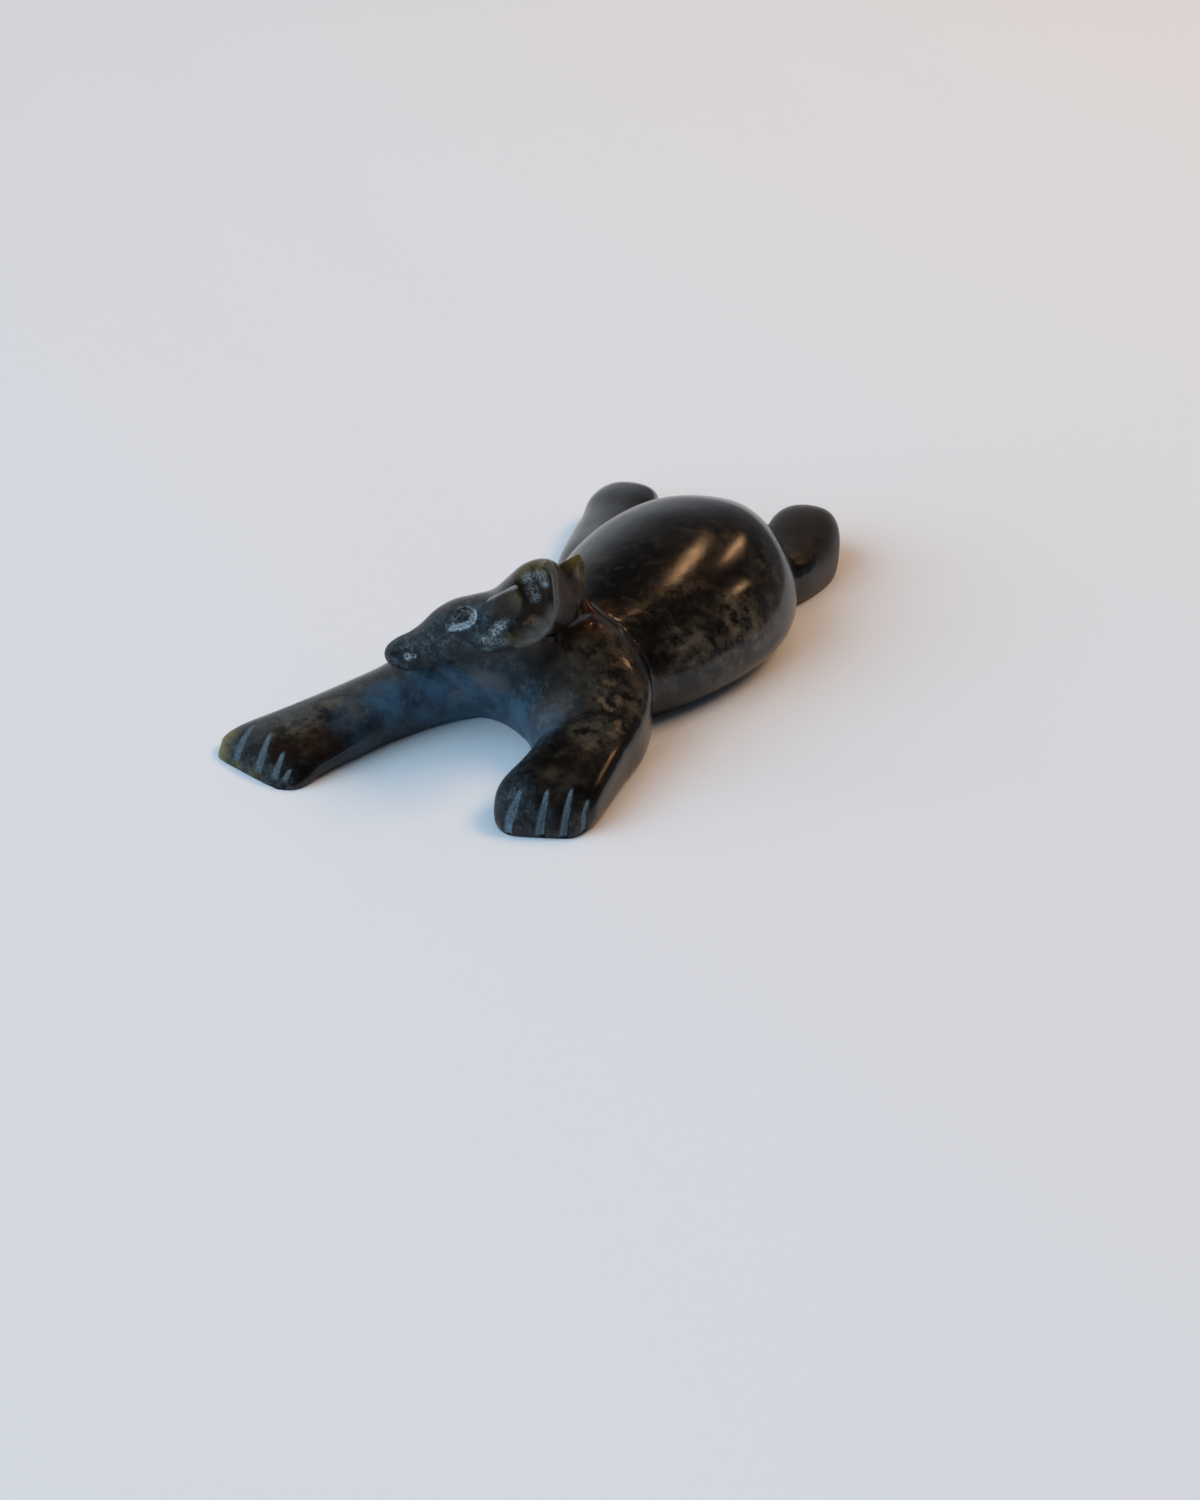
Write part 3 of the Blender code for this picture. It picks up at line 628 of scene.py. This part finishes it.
# ---- colour regions, marked on the stone ----------------------------------------------------
# Each spot: (x, y, z, reach, share); the lists named HEAD_ are placed by the head's axes
# Olive clouds on the near shoulder, flank and both forelegs
OLIVE = [
    (32.0, -1.7, 15.4, 8, 1.0), (36.6, 12.3, 15.7, 9, 1.0), (37.0, 5.0, 10.0, 9, 0.8),
    (35.0, 17.0, 18.0, 7, 0.5), (20.0, -24.4, 19.3, 8, 0.6), (22.6, -15.4, 20.7, 7, 0.55),
    (32.3, -23.2, 13.5, 8, 0.6), (29.0, -36.0, 11.0, 8, 0.6), (29.0, -50.0, 7.0, 6, 0.25),
    (-22.4, -46.9, 8.4, 9, 1.0), (-28.5, -54.0, 6.7, 9, 0.9), (-33.0, -60.0, 5.0, 6, 0.6),
    (34.0, 30.0, 18.0, 8, 0.4), (30.0, -8.0, 10.0, 6, 0.5), (32.0, -1.7, 13.4, 7, 1.0),
    (39.5, 15.3, 10.8, 8, 0.9), (36.0, 1.8, 11.1, 7, 0.9), (39.1, 25.0, 13.3, 8, 0.6),
    (31.1, -25.1, 14.1, 7, 0.6), (25.5, -27.2, 15.8, 8, 0.6),
]
# Tan flecks among them on the near foreleg and the back
TAN = [
    (27.0, -27.4, 15.2, 5, 1.0), (31.2, -32.3, 12.1, 4, 1.0), (29.2, -29.7, 13.6, 4, 1.0),
    (26.0, -20.0, 18.0, 5, 0.4), (24.0, 8.0, 22.0, 7, 0.3),
]
# Rust-brown stone behind the head and on the far paw
RUST = [
    (16.6, -15.7, 23.8, 7, 1.0), (13.5, -6.4, 21.0, 6, 0.8), (-27.8, -64.0, 4.4, 7, 0.35),
    (-22.0, -58.0, 6.0, 7, 0.35), (24.0, 14.0, 23.0, 8, 0.3),
]
# Matt, filed stone of the breast, the inner forelegs and the paws
WORN = [
    (-4.1, -28.9, 5.9, 13, 1.0), (9.2, -31.1, 8.0, 13, 1.0), (16.0, -40.0, 6.0, 11, 0.9),
    (-13.6, -38.0, 7.0, 12, 1.0), (-19.0, -44.0, 6.0, 10, 0.8), (18.0, -50.0, 5.0, 8, 0.6),
    (3.0, -28.0, 14.0, 12, 0.9), (20.5, -32.0, 12.5, 6, 0.7), (-5.0, -30.0, 13.0, 10, 0.8),
    (23.0, -56.0, 5.0, 7, 0.9), (30.0, -59.0, 3.0, 6, 0.5), (36.5, -56.0, 3.0, 4.5, 0.4),
    (-37.0, -62.0, 3.0, 8, 0.7), (-31.0, -67.0, 2.0, 6, 0.6), (-25.0, -68.0, 2.0, 5.5, 0.5),
    (-30.0, -52.0, 5.0, 8, 0.4),
]
# Dull stone on the near shoulder and the near hind foot
DULL = [(18.2, -27.6, 16.2, 9, 1.0), (22.0, -30.0, 14.5, 6, 0.7), (25.0, 66.0, 8.0, 15, 0.9)]
# Painted blue-grey sheen on the breast, standing in for the cool light's reflection, and the darker
# gaps in it
PAINTED_BLUE_SHEEN = [
    (-4.1, -28.9, 5.9, 13, 1.0), (-9.4, -35.6, 7.7, 10, 1.0), (-15.1, -41.5, 9.0, 8, 0.9),
    (-7.0, -31.8, 8.8, 9, 1.0), (6.0, -30.0, 7.0, 10, 0.7), (-20.0, -50.0, 3.0, 8, 0.6),
    (13.0, -36.0, 5.0, 8, 0.5), (18.0, -36.0, 10.0, 6, 0.6),
]
PAINTED_SHEEN_GAPS = [(6.8, -28.2, 12.1, 4.0, 0.85), (-10.7, -37.2, 8.1, 3.5, 0.5)]
# Painted pale sheen on the breast
CHEST_PAINTED_SHEEN = [
    (1.0, -30.0, 12.4, 6.0, 0.35), (17.5, -33.0, 11.5, 7.5, 0.18), (-5.5, -30.5, 7.4, 3.5, 0.2),
]
# Ochre end of the far paw
OCHRE = [
    (-42.0, -65.5, 1.5, 5.2, 1.0), (-41.5, -62.0, 3.0, 4.0, 0.9), (-35.5, -67.0, 0.8, 2.4, 0.6),
    (-30.0, -68.5, 0.8, 2.4, 0.5),
]
# Matt, filed stone of the face
HEAD_WORN = [
    (29.0, 2.0, 1.0, 9, 0.9), (21.0, 4.0, 1.0, 10, 1.0), (13.0, 5.0, 2.0, 9, 1.0),
    (9.0, 6.0, -1.0, 7, 1.0), (22.0, 0.0, -4.0, 9, 0.7),
]
# White scuffs on the nose, the cheek and in the bowl of the ear
HEAD_SCUFF = [
    (28.6, 3.5, -0.1, 1.3, 0.75), (27.4, 3.9, -0.3, 1.0, 0.5), (11.5, 7.5, -0.4, 1.6, 0.6),
    (10.0, 7.6, -1.6, 2.6, 0.32), (12.2, 6.5, -3.0, 1.8, 0.3), (8.6, 7.4, -2.4, 1.8, 0.3),
    (9.0, 7.5, 0.4, 1.5, 0.7), (7.8, 7.4, 1.2, 1.4, 0.8), (6.2, 6.8, 1.2, 1.6, 0.55),
    (4.6, 6.0, 0.6, 1.2, 0.6), (-2.8, 2.6, 6.9, 1.5, 0.8), (-1.6, 2.8, 7.3, 1.2, 0.6),
    (-0.4, 2.1, 6.6, 1.8, 0.8), (-0.1, 2.4, 4.0, 1.9, 0.65), (-2.8, 1.8, 6.2, 1.9, 0.55),
    (-3.1, 2.3, 4.5, 1.5, 0.5), (-0.1, 2.6, 2.5, 1.7, 0.75),
    (15.0, 2.0, 6.0, 1.4, 0.25), (6.6, 3.0, 6.4, 1.6, 0.4), (-9.0, -3.8, 1.2, 1.8, 0.4),
]
# Amber stone along the crest, the leaf and the far ear
HEAD_AMBER = [
    (2.0, 7.6, 5.4, 2.8, 0.35), (1.4, 7.4, 3.4, 2.0, 0.3), (-0.4, 1.6, 9.0, 4.0, 0.8),
    (-3.4, 1.0, 8.4, 3.6, 0.8), (-9.0, -6.0, 3.4, 4.5, 1.0), (-8.0, -6.4, 0.0, 4.0, 0.8),
    (6.4, 7.0, -2.6, 3.0, 0.6), (3.2, 6.6, 0.2, 2.4, 0.5),
]
# Rust-brown stone in the bowl of the ear and behind it
HEAD_RUST = [
    (-1.5, 2.4, 4.0, 5.0, 1.0), (0.5, 3.0, 0.5, 4.0, 0.8), (-6.0, -3.0, 4.0, 5.0, 0.5),
    (-4.0, 1.0, -4.0, 6.0, 0.6), (-7.5, 1.5, 1.5, 5.5, 0.8),
]
# Dull stone in and behind the ears
HEAD_DULL = [
    (-1.0, 2.6, 4.0, 6.5, 1.0), (1.5, 3.5, -0.5, 4.0, 0.8), (5.0, 6.0, 4.0, 5.5, 1.0),
    (-7.5, 2.0, 2.0, 5.5, 0.5), (-7.0, -2.0, 1.0, 6.0, 0.6), (-8.0, -5.0, 0.0, 5.0, 0.6),
    (-6.0, 3.0, -3.0, 5.0, 0.6), (3.5, 6.0, -7.5, 5.0, 1.0),
]
# Dark stone in the ear, where nothing is filed
HEAD_DARK = [
    (1.6, 2.6, 7.8, 2.4, 0.9), (-1.0, 1.8, 8.6, 2.6, 0.9), (6.5, 6.2, 4.0, 3.2, 1.0),
    (3.8, 7.4, 4.0, 3.0, 0.9), (5.4, 6.4, 0.4, 1.6, 1.0),
]
# Painted shade in the pits of the ear
HEAD_PIT_SHADE = [(5.0, 6.8, 0.7, 1.5, 0.9), (3.9, 6.3, 0.3, 1.2, 0.8), (2.4, 3.4, 7.0, 1.2, 0.4)]
# Painted broad highlight on the lower rim inside the ear's bowl
HEAD_PAINTED_HIGHLIGHT = [
    (3.0, 6.6, -3.6, 3.4, 0.42), (0.5, 6.0, -2.4, 3.4, 0.42), (-1.8, 5.6, -0.4, 3.0, 0.42),
]
# Tan chip in the bowl of the ear
HEAD_CHIP = [(1.8, 4.3, -1.3, 1.5, 1.0), (3.2, 5.0, -1.0, 1.0, 0.9)]
SPOT_CORE = 0.25                # share of a spot's reach within which it is full
# White wear round the eye: its reach and full reach, the slope from above the eye to below it
# over which it fills up, its share above the eye and how far that slope leans to the back
EYE_SCUFF, EYE_SIDE, EYE_ABOVE, EYE_LEAN = (1.0, 0.35), (-0.9, 0.4), 0.3, 0.35
# Painted highlight lines along the ear's thin edges: reach and full reach
RIM_HIGHLIGHT_REACH, LEAF_HIGHLIGHT_REACH = (1.1, 0.3), (0.75, 0.35)
RIM_HIGHLIGHT_SHARE = 0.45                 # its greatest share on the rim


def spots(at, rows):
    """Greatest share that any spot gives each corner, fading out to the spot's reach."""
    share = np.zeros(len(at))
    for x, y, z, reach, strength in rows:
        away = np.linalg.norm(at - (x, y, z), axis=1)
        share = np.maximum(share, strength * ramp(away, reach, SPOT_CORE * reach))
    return share


def mark(thing, name, share):
    """Keep a share at each corner as a named attribute of the mesh."""
    layer = thing.data.attributes.new(name, "FLOAT", "POINT")
    layer.data.foreach_set("value", share.astype(np.float32))


def either(*shares):
    """Greatest of several shares at each corner."""
    return np.maximum.reduce(shares)


at = corners(bear)
home = in_head(at)
down_cheek = (at - np.array(on_head(*EYE_CENTRE))) @ np.array(cheek - EYE_LEAN * HEAD_FORWARD)
eye_wear = ramp(away_from(at, ring), *EYE_SCUFF)
eye_wear *= EYE_ABOVE + (1 - EYE_ABOVE) * ramp(down_cheek, *EYE_SIDE)
# Painted highlight lines on the rim and the leaf's top edge, the painted highlight in the bowl and
# the painted sheen on the breast, kept as one mark
rim_highlight = RIM_HIGHLIGHT_SHARE * ramp(away_from(home, RIM), *RIM_HIGHLIGHT_REACH)
leaf_highlight = ramp(away_from(home, [row[:3] for row in (LEAF[0], LEAF[3])]), *LEAF_HIGHLIGHT_REACH)
mark(bear, "painted_highlight", either(rim_highlight, leaf_highlight, spots(home, HEAD_PAINTED_HIGHLIGHT), spots(at, CHEST_PAINTED_SHEEN)))
mark(bear, "olive", spots(at, OLIVE))
mark(bear, "tan", spots(at, TAN))
mark(bear, "rust", either(spots(at, RUST), spots(home, HEAD_RUST)))
mark(bear, "worn", either(spots(at, WORN), spots(home, HEAD_WORN)) * (1 - spots(home, HEAD_DARK)))
mark(bear, "scuff", either(spots(home, HEAD_SCUFF), eye_wear))
mark(bear, "amber", spots(home, HEAD_AMBER))
mark(bear, "ochre", spots(at, OCHRE))
mark(bear, "dull", either(spots(at, DULL), spots(home, HEAD_DULL)))
mark(bear, "chip", spots(home, HEAD_CHIP))
# lit_facet: filed wall of each toe cut, painted pale only on the lit side and darker towards the
# ground
mark(bear, "lit_facet", lit_facet)
# painted shade in the eye groove, the mouth and the ear's pits
mark(bear, "shaded_hollow", either(shaded_hollow, spots(home, HEAD_PIT_SHADE)))
# blue: painted sheen of the cool light on the breast
mark(bear, "blue", spots(at, PAINTED_BLUE_SHEEN) * (1 - spots(at, PAINTED_SHEEN_GAPS)))

# ---- set the stone in its place: middle of its plan box on the middle of the CAD box ---------
shift = CAD_MIDDLE.xy - Vector(PLAN_MIDDLE) * MM
take(bear)
bear.location = (shift.x, shift.y, 0)
bpy.ops.object.transform_apply()
bpy.ops.object.shade_smooth()

# ---- material -------------------------------------------------------------------------------
# Clouds that break the stone up: (scale, low and high threshold, roughness)
GRAIN = (2200, 0.36, 0.66, 0.8)
SPECKLE = (2400, 0.42, 0.62, 0.75)
SOLID_SCUFF = (4.0, -3.0)       # a scuff over three quarters strong is solid white
# Lines of the file: how they are turned, fine ones, and broader streaks kept between two
# thresholds
FILE_TURN = (radians(20), radians(-35), radians(25))
FILE_LINES = {"Length": 260.0, "Fineness": 2000.0}
STREAKS, STREAK_EDGE = {"Length": 500.0, "Fineness": 1500.0}, (0.47, 0.68)

# The polished stone's own two blacks and the clouds between them
BLACK, BROWN_BLACK = (0.0030, 0.0026, 0.0022), (0.009, 0.007, 0.0052)
BLACK_CLOUDS = (140, 0.42, 0.66, 0.6)
# Colours laid over it, each over those before: (what it is, colour, the masks it keeps to, its
# own clouds, strength)
LAYERS = [
    ("brown mottling", (0.034, 0.029, 0.020), [], (300, 0.50, 0.70, 0.6), 0.5),
    ("rust stain", (0.055, 0.022, 0.010), ["rust"], (420, 0.32, 0.62, 0.65), 0.8),
    ("olive clouds", (0.112, 0.094, 0.068), ["olive"], (330, 0.36, 0.70, 0.66), 0.9),
    ("tan flecks", (0.22, 0.145, 0.080), ["tan"], (420, 0.46, 0.72, 0.6), 0.7),
    ("matt ground", (0.006, 0.012, 0.017), ["worn"], None, 0.9),
    ("matt bloom", (0.100, 0.148, 0.175), ["worn", "grain"], (600, 0.40, 0.74, 0.75), 0.9),
    ("file streaks", (0.100, 0.150, 0.178), ["worn", "streaks"], (300, 0.44, 0.62, 0.6), 0.5),
    # painted blue sheen: the cool light's reflection laid into the colour
    ("painted blue sheen", (0.052, 0.125, 0.205), ["blue"], (260, 0.15, 0.70, 0.6), 0.95),
    ("dull stone", (0.020, 0.014, 0.009), ["dull"], (700, 0.30, 0.65, 0.7), 0.8),
    ("amber edges", (0.100, 0.074, 0.018), ["amber"], (500, 0.12, 0.55, 0.6), 0.95),
    ("ochre toe", (0.150, 0.125, 0.040), ["ochre"], (700, 0.10, 0.60, 0.7), 0.95),
    ("chip", (0.32, 0.20, 0.10), ["chip"], (1200, 0.30, 0.55, 0.6), 1.0),
    # painted highlights: the ear's edge lines, its bowl and the breast's sheen
    ("thin edges", (0.25, 0.215, 0.195), ["painted_highlight"], None, 0.9),
    # pale filed facets, painted on the lit side of each cut only
    ("toe facets", (0.060, 0.105, 0.145), ["lit_facet"], None, 0.95),
    ("facet grain", (0.190, 0.255, 0.300), ["lit_facet", "grain"], None, 0.8),
    # painted shade in the graved hollows
    ("painted shade in hollows", (0.003, 0.004, 0.005), ["shaded_hollow"], None, 0.8),
    ("white scuffs", (0.54, 0.64, 0.70), ["scuff", "speckle"], None, 1.0),
]
# Roughness of the polish, what clouds add to it, and what masks add: (masks, roughness)
POLISH, POLISH_CLOUDS, CLOUDS_ADD = 0.13, (600, 0.3, 0.7, 0.6), 0.06
ROUGHER = [(["worn"], 0.34), (["lit_facet"], 0.30), (["dull"], 0.34), (["scuff", "speckle"], 0.4)]
# Relief that the file and the grain leave: (masks, share of the full height)
BUMP_HEIGHT, BUMP_STRENGTH = 0.12 * MM, 0.5
RELIEF = [
    (["file lines", "worn"], 0.7), (["worn", "grain"], 1.6), (["dull", "grain"], 2.0),
    (["lit_facet", "file lines"], 1.5), (["scuff", "speckle"], 1.0), (["grain"], 0.03),
]
STONE_IOR = 1.46
MARKS = ["olive", "tan", "rust", "worn", "scuff", "amber", "ochre", "dull", "chip", "painted_highlight", "lit_facet",
         "shaded_hollow", "blue"]


def new_group(name, inputs, output):
    """Empty node group with named float inputs (name, default) and one named output."""
    tree = bpy.data.node_groups.new(name, "ShaderNodeTree")
    for label, value in inputs:
        socket = tree.interface.new_socket(label, in_out="INPUT", socket_type="NodeSocketFloat")
        socket.default_value = value
    tree.interface.new_socket(output, in_out="OUTPUT", socket_type="NodeSocketFloat")
    return tree, tree.nodes.new("NodeGroupInput"), tree.nodes.new("NodeGroupOutput")


def feed(tree, value, socket):
    """Link a socket, or set a plain number or colour."""
    if isinstance(value, bpy.types.NodeSocket):
        tree.links.new(value, socket)
    elif isinstance(value, tuple):
        socket.default_value = (*value, 1)
    else:
        socket.default_value = value


def reckon(tree, operation, *values, clamp=False):
    """Outcome of one operation on sockets or plain numbers, by a Math node."""
    node = tree.nodes.new("ShaderNodeMath")
    node.operation = operation
    node.use_clamp = clamp
    for socket, value in zip(node.inputs, values):
        feed(tree, value, socket)
    return node.outputs[0]


def over(tree, under, colour, share, label=""):
    """A colour laid over what is below it by a share."""
    node = tree.nodes.new("ShaderNodeMix")
    node.data_type = "RGBA"
    node.label = label
    feed(tree, under, node.inputs["A"])
    feed(tree, colour, node.inputs["B"])
    feed(tree, share, node.inputs["Factor"])
    return node.outputs["Result"]


def clouds_group():
    """Soft patches of the stone's own figure, between a low and a high threshold."""
    tree, given, put = new_group(
        "stone clouds",
        [("Scale", 300.0), ("Low", 0.4), ("High", 0.6), ("Roughness", 0.6), ("Depth", 4.0)],
        "Clouds")
    place = tree.nodes.new("ShaderNodeTexCoord")
    noise = tree.nodes.new("ShaderNodeTexNoise")
    threshold = tree.nodes.new("ShaderNodeMapRange")
    threshold.interpolation_type = "SMOOTHSTEP"
    tree.links.new(place.outputs["Object"], noise.inputs["Vector"])
    tree.links.new(given.outputs["Scale"], noise.inputs["Scale"])
    tree.links.new(given.outputs["Roughness"], noise.inputs["Roughness"])
    tree.links.new(given.outputs["Depth"], noise.inputs["Detail"])
    tree.links.new(noise.outputs["Fac"], threshold.inputs["Value"])
    tree.links.new(given.outputs["Low"], threshold.inputs["From Min"])
    tree.links.new(given.outputs["High"], threshold.inputs["From Max"])
    tree.links.new(threshold.outputs["Result"], put.inputs["Clouds"])
    return tree


def scratches_group():
    """Lines left by the file, long one way and fine across it."""
    tree, given, put = new_group("file scratches", [("Length", 260.0), ("Fineness", 2600.0)], "Lines")
    place = tree.nodes.new("ShaderNodeTexCoord")
    turn = tree.nodes.new("ShaderNodeMapping")
    turn.inputs["Rotation"].default_value = FILE_TURN
    stretch = tree.nodes.new("ShaderNodeCombineXYZ")
    spread = tree.nodes.new("ShaderNodeVectorMath")
    spread.operation = "MULTIPLY"
    lines = tree.nodes.new("ShaderNodeTexNoise")
    lines.inputs["Scale"].default_value = 1.0
    lines.inputs["Detail"].default_value = 2.0
    tree.links.new(place.outputs["Object"], turn.inputs["Vector"])
    tree.links.new(turn.outputs["Vector"], spread.inputs[0])
    tree.links.new(given.outputs["Length"], stretch.inputs["X"])
    tree.links.new(given.outputs["Fineness"], stretch.inputs["Y"])
    tree.links.new(given.outputs["Fineness"], stretch.inputs["Z"])
    tree.links.new(stretch.outputs["Vector"], spread.inputs[1])
    tree.links.new(spread.outputs["Vector"], lines.inputs["Vector"])
    tree.links.new(lines.outputs["Fac"], put.inputs["Lines"])
    return tree


CLOUDS, SCRATCHES = clouds_group(), scratches_group()
stone = bpy.data.materials.new("soapstone")
stone.use_nodes = True
tree = stone.node_tree
shader = tree.nodes["Principled BSDF"]


def placed(group, **values):
    """A group placed in the stone's material with its own values; gives its output."""
    node = tree.nodes.new("ShaderNodeGroup")
    node.node_tree = group
    for label, value in values.items():
        node.inputs[label].default_value = value
    return node.outputs[0]


def cloud(scale, low, high, roughness):
    """Clouds set for one layer of the stone."""
    return placed(CLOUDS, Scale=scale, Low=low, High=high, Roughness=roughness)


def marked(name):
    """Share marked on the stone under a name."""
    node = tree.nodes.new("ShaderNodeAttribute")
    node.attribute_name = name
    return node.outputs["Fac"]


def times(*values):
    """Product of shares, kept between 0 and 1."""
    result = values[0]
    for value in values[1:]:
        result = reckon(tree, "MULTIPLY", result, value, clamp=True)
    return result


def added(start, rows):
    """A start with each row's share, times its strength, added to it."""
    for names, strength in rows:
        shares = [masks[name] for name in names]
        start = reckon(tree, "MULTIPLY_ADD", times(*shares), strength, start)
    return start


# Masks by name: what is marked on the stone, and the figures it breaks up into
masks = {name: marked(name) for name in MARKS}
solid = reckon(tree, "MULTIPLY_ADD", masks["scuff"], *SOLID_SCUFF, clamp=True)
masks["speckle"] = reckon(tree, "MAXIMUM", cloud(*SPECKLE), solid)
masks["grain"] = cloud(*GRAIN)
masks["file lines"] = placed(SCRATCHES, **FILE_LINES)
streak = tree.nodes.new("ShaderNodeMapRange")
streak.inputs["From Min"].default_value, streak.inputs["From Max"].default_value = STREAK_EDGE
tree.links.new(placed(SCRATCHES, **STREAKS), streak.inputs["Value"])
masks["streaks"] = streak.outputs["Result"]

colour = over(tree, BLACK, BROWN_BLACK, cloud(*BLACK_CLOUDS), "polished stone")
for label, tint, names, figure, strength in LAYERS:
    shares = [masks[name] for name in names]
    if figure:
        shares.append(cloud(*figure))
    colour = over(tree, colour, tint, times(*shares, strength), label)
tree.links.new(colour, shader.inputs["Base Color"])

polish = reckon(tree, "MULTIPLY_ADD", cloud(*POLISH_CLOUDS), CLOUDS_ADD, POLISH)
tree.links.new(added(polish, ROUGHER), shader.inputs["Roughness"])

bump = tree.nodes.new("ShaderNodeBump")
bump.inputs["Strength"].default_value = BUMP_STRENGTH
bump.inputs["Distance"].default_value = BUMP_HEIGHT
tree.links.new(added(0.0, RELIEF), bump.inputs["Height"])
tree.links.new(bump.outputs["Normal"], shader.inputs["Normal"])
shader.inputs["IOR"].default_value = STONE_IOR

bear.data.materials.clear()
bear.data.materials.append(stone)
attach(bear, "root")
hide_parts("bear_carving")

# ---- floor ----------------------------------------------------------------------------------
FLOOR_SIDE = 6.0                # metres
FLOOR_COLOUR, FLOOR_ROUGHNESS = (0.795, 0.855, 0.925), 0.7
put_down()
bpy.ops.mesh.primitive_plane_add(size=FLOOR_SIDE)
floor = bpy.context.object
floor.name = "floor"
paper = bpy.data.materials.new("pale_floor")
paper.use_nodes = True
paper_shader = paper.node_tree.nodes["Principled BSDF"]
paper_shader.inputs["Base Color"].default_value = (*FLOOR_COLOUR, 1)
paper_shader.inputs["Roughness"].default_value = FLOOR_ROUGHNESS
floor.data.materials.append(paper)

# ---- light ----------------------------------------------------------------------------------
COOL, NEUTRAL = (0.58, 0.82, 1.0), (0.95, 0.98, 1.0)
LAMP, WARM = (1.0, 0.56, 0.27), (1.0, 0.57, 0.28)
# Each light: (name, way to it, distance, its two sides, watts, colour, seen in the polish)
LIGHTS = [
    ("cool_window", (-0.56, -0.62, 0.55), 4.0, (6.2, 4.4), 190.0, COOL, False),
    ("cool_front", (-0.30, -0.90, 0.32), 2.0, (1.80, 1.00), 9.0, COOL, False),
    ("warm_lamp", (0.36, 0.63, 0.69), 4.5, (2.25, 1.50), 102.0, LAMP, False),
    ("overhead", (0.10, 0.10, 1.0), 1.5, (1.6, 1.6), 4.2, NEUTRAL, False),
    ("strip_back", (-0.22, 0.66, 0.72), 1.0, (0.035, 0.24), 0.34, WARM, True),
    ("strip_hip", (-0.04, 0.80, 0.60), 1.0, (0.03, 0.20), 0.28, WARM, True),
    ("strip_leg", (0.31, 0.67, 0.67), 1.0, (0.03, 0.08), 0.24, WARM, True),
]


def soft_light(name, way, distance, sides, watts, colour, seen):
    """Oblong soft light looking at the carving from one side."""
    put_down()
    toward = Vector(way).normalized()
    bpy.ops.object.light_add(type="AREA", location=toward * distance)
    light = bpy.context.object
    light.name = name
    light.rotation_euler = toward.to_track_quat("Z", "Y").to_euler()
    light.data.shape = "RECTANGLE"
    light.data.size, light.data.size_y = sides
    light.data.energy = watts
    light.data.color = colour
    light.visible_glossy = seen


for light in LIGHTS:
    soft_light(*light)

# Dim room overhead with a pale wall low down on the left
ROOM_COLOUR, WALL_COLOUR = (0.035, 0.035, 0.038), (0.58, 0.63, 0.70)
WALL_TOP, WALL_SIDE = (0.62, 0.08), (-0.15, -0.65)  # slopes where the wall starts and is full
WALL_LEAST = 0.22               # its share on the room's other side
world = bpy.data.worlds.new("studio")
bpy.context.scene.world = world
world.use_nodes = True
room = world.node_tree
direction = room.nodes.new("ShaderNodeTexCoord")
apart = room.nodes.new("ShaderNodeSeparateXYZ")
room.links.new(direction.outputs["Generated"], apart.inputs["Vector"])


def fade(axis, start, full, least=0.0):
    """Share that rises from least at one slope of the sky to 1 at another."""
    node = room.nodes.new("ShaderNodeMapRange")
    node.interpolation_type = "SMOOTHSTEP"
    node.inputs["From Min"].default_value = start
    node.inputs["From Max"].default_value = full
    node.inputs["To Min"].default_value = least
    room.links.new(apart.outputs[axis], node.inputs["Value"])
    return node.outputs["Result"]


wall = reckon(room, "MULTIPLY", fade("Z", *WALL_TOP), fade("X", *WALL_SIDE, WALL_LEAST))
room.links.new(over(room, ROOM_COLOUR, WALL_COLOUR, wall), room.nodes["Background"].inputs["Color"])
bpy.context.scene.view_settings.view_transform = "Standard"

# ---- camera ---------------------------------------------------------------------------------
CAMERA_AZIMUTH, CAMERA_ELEVATION = radians(30), radians(31)
CAMERA_DISTANCE = 0.560
CAMERA_LENS, SENSOR = 63.24, 36     # millimetres, the sensor along the frame's long side
CAMERA_CLIP = 0.01
AIM = -Vector((*PLAN_MIDDLE, 0.0)) * MM     # the ground at the carving's own (0, 0)
ASIDE, BELOW = -0.01518, 0.03036    # the aim's place beside and below the axis, as slopes
back = Vector((sin(CAMERA_AZIMUTH) * cos(CAMERA_ELEVATION),
               -cos(CAMERA_AZIMUTH) * cos(CAMERA_ELEVATION), sin(CAMERA_ELEVATION)))
right = Vector((cos(CAMERA_AZIMUTH), sin(CAMERA_AZIMUTH), 0))
above = back.cross(right)
put_down()
bpy.ops.object.camera_add(location=AIM + CAMERA_DISTANCE * (back - ASIDE * right - BELOW * above))
camera = bpy.context.object
camera.rotation_mode = "QUATERNION"
camera.rotation_quaternion = back.to_track_quat("Z", "Y")
camera.data.lens = CAMERA_LENS
camera.data.sensor_width = SENSOR
camera.data.clip_start = CAMERA_CLIP
bpy.context.scene.camera = camera
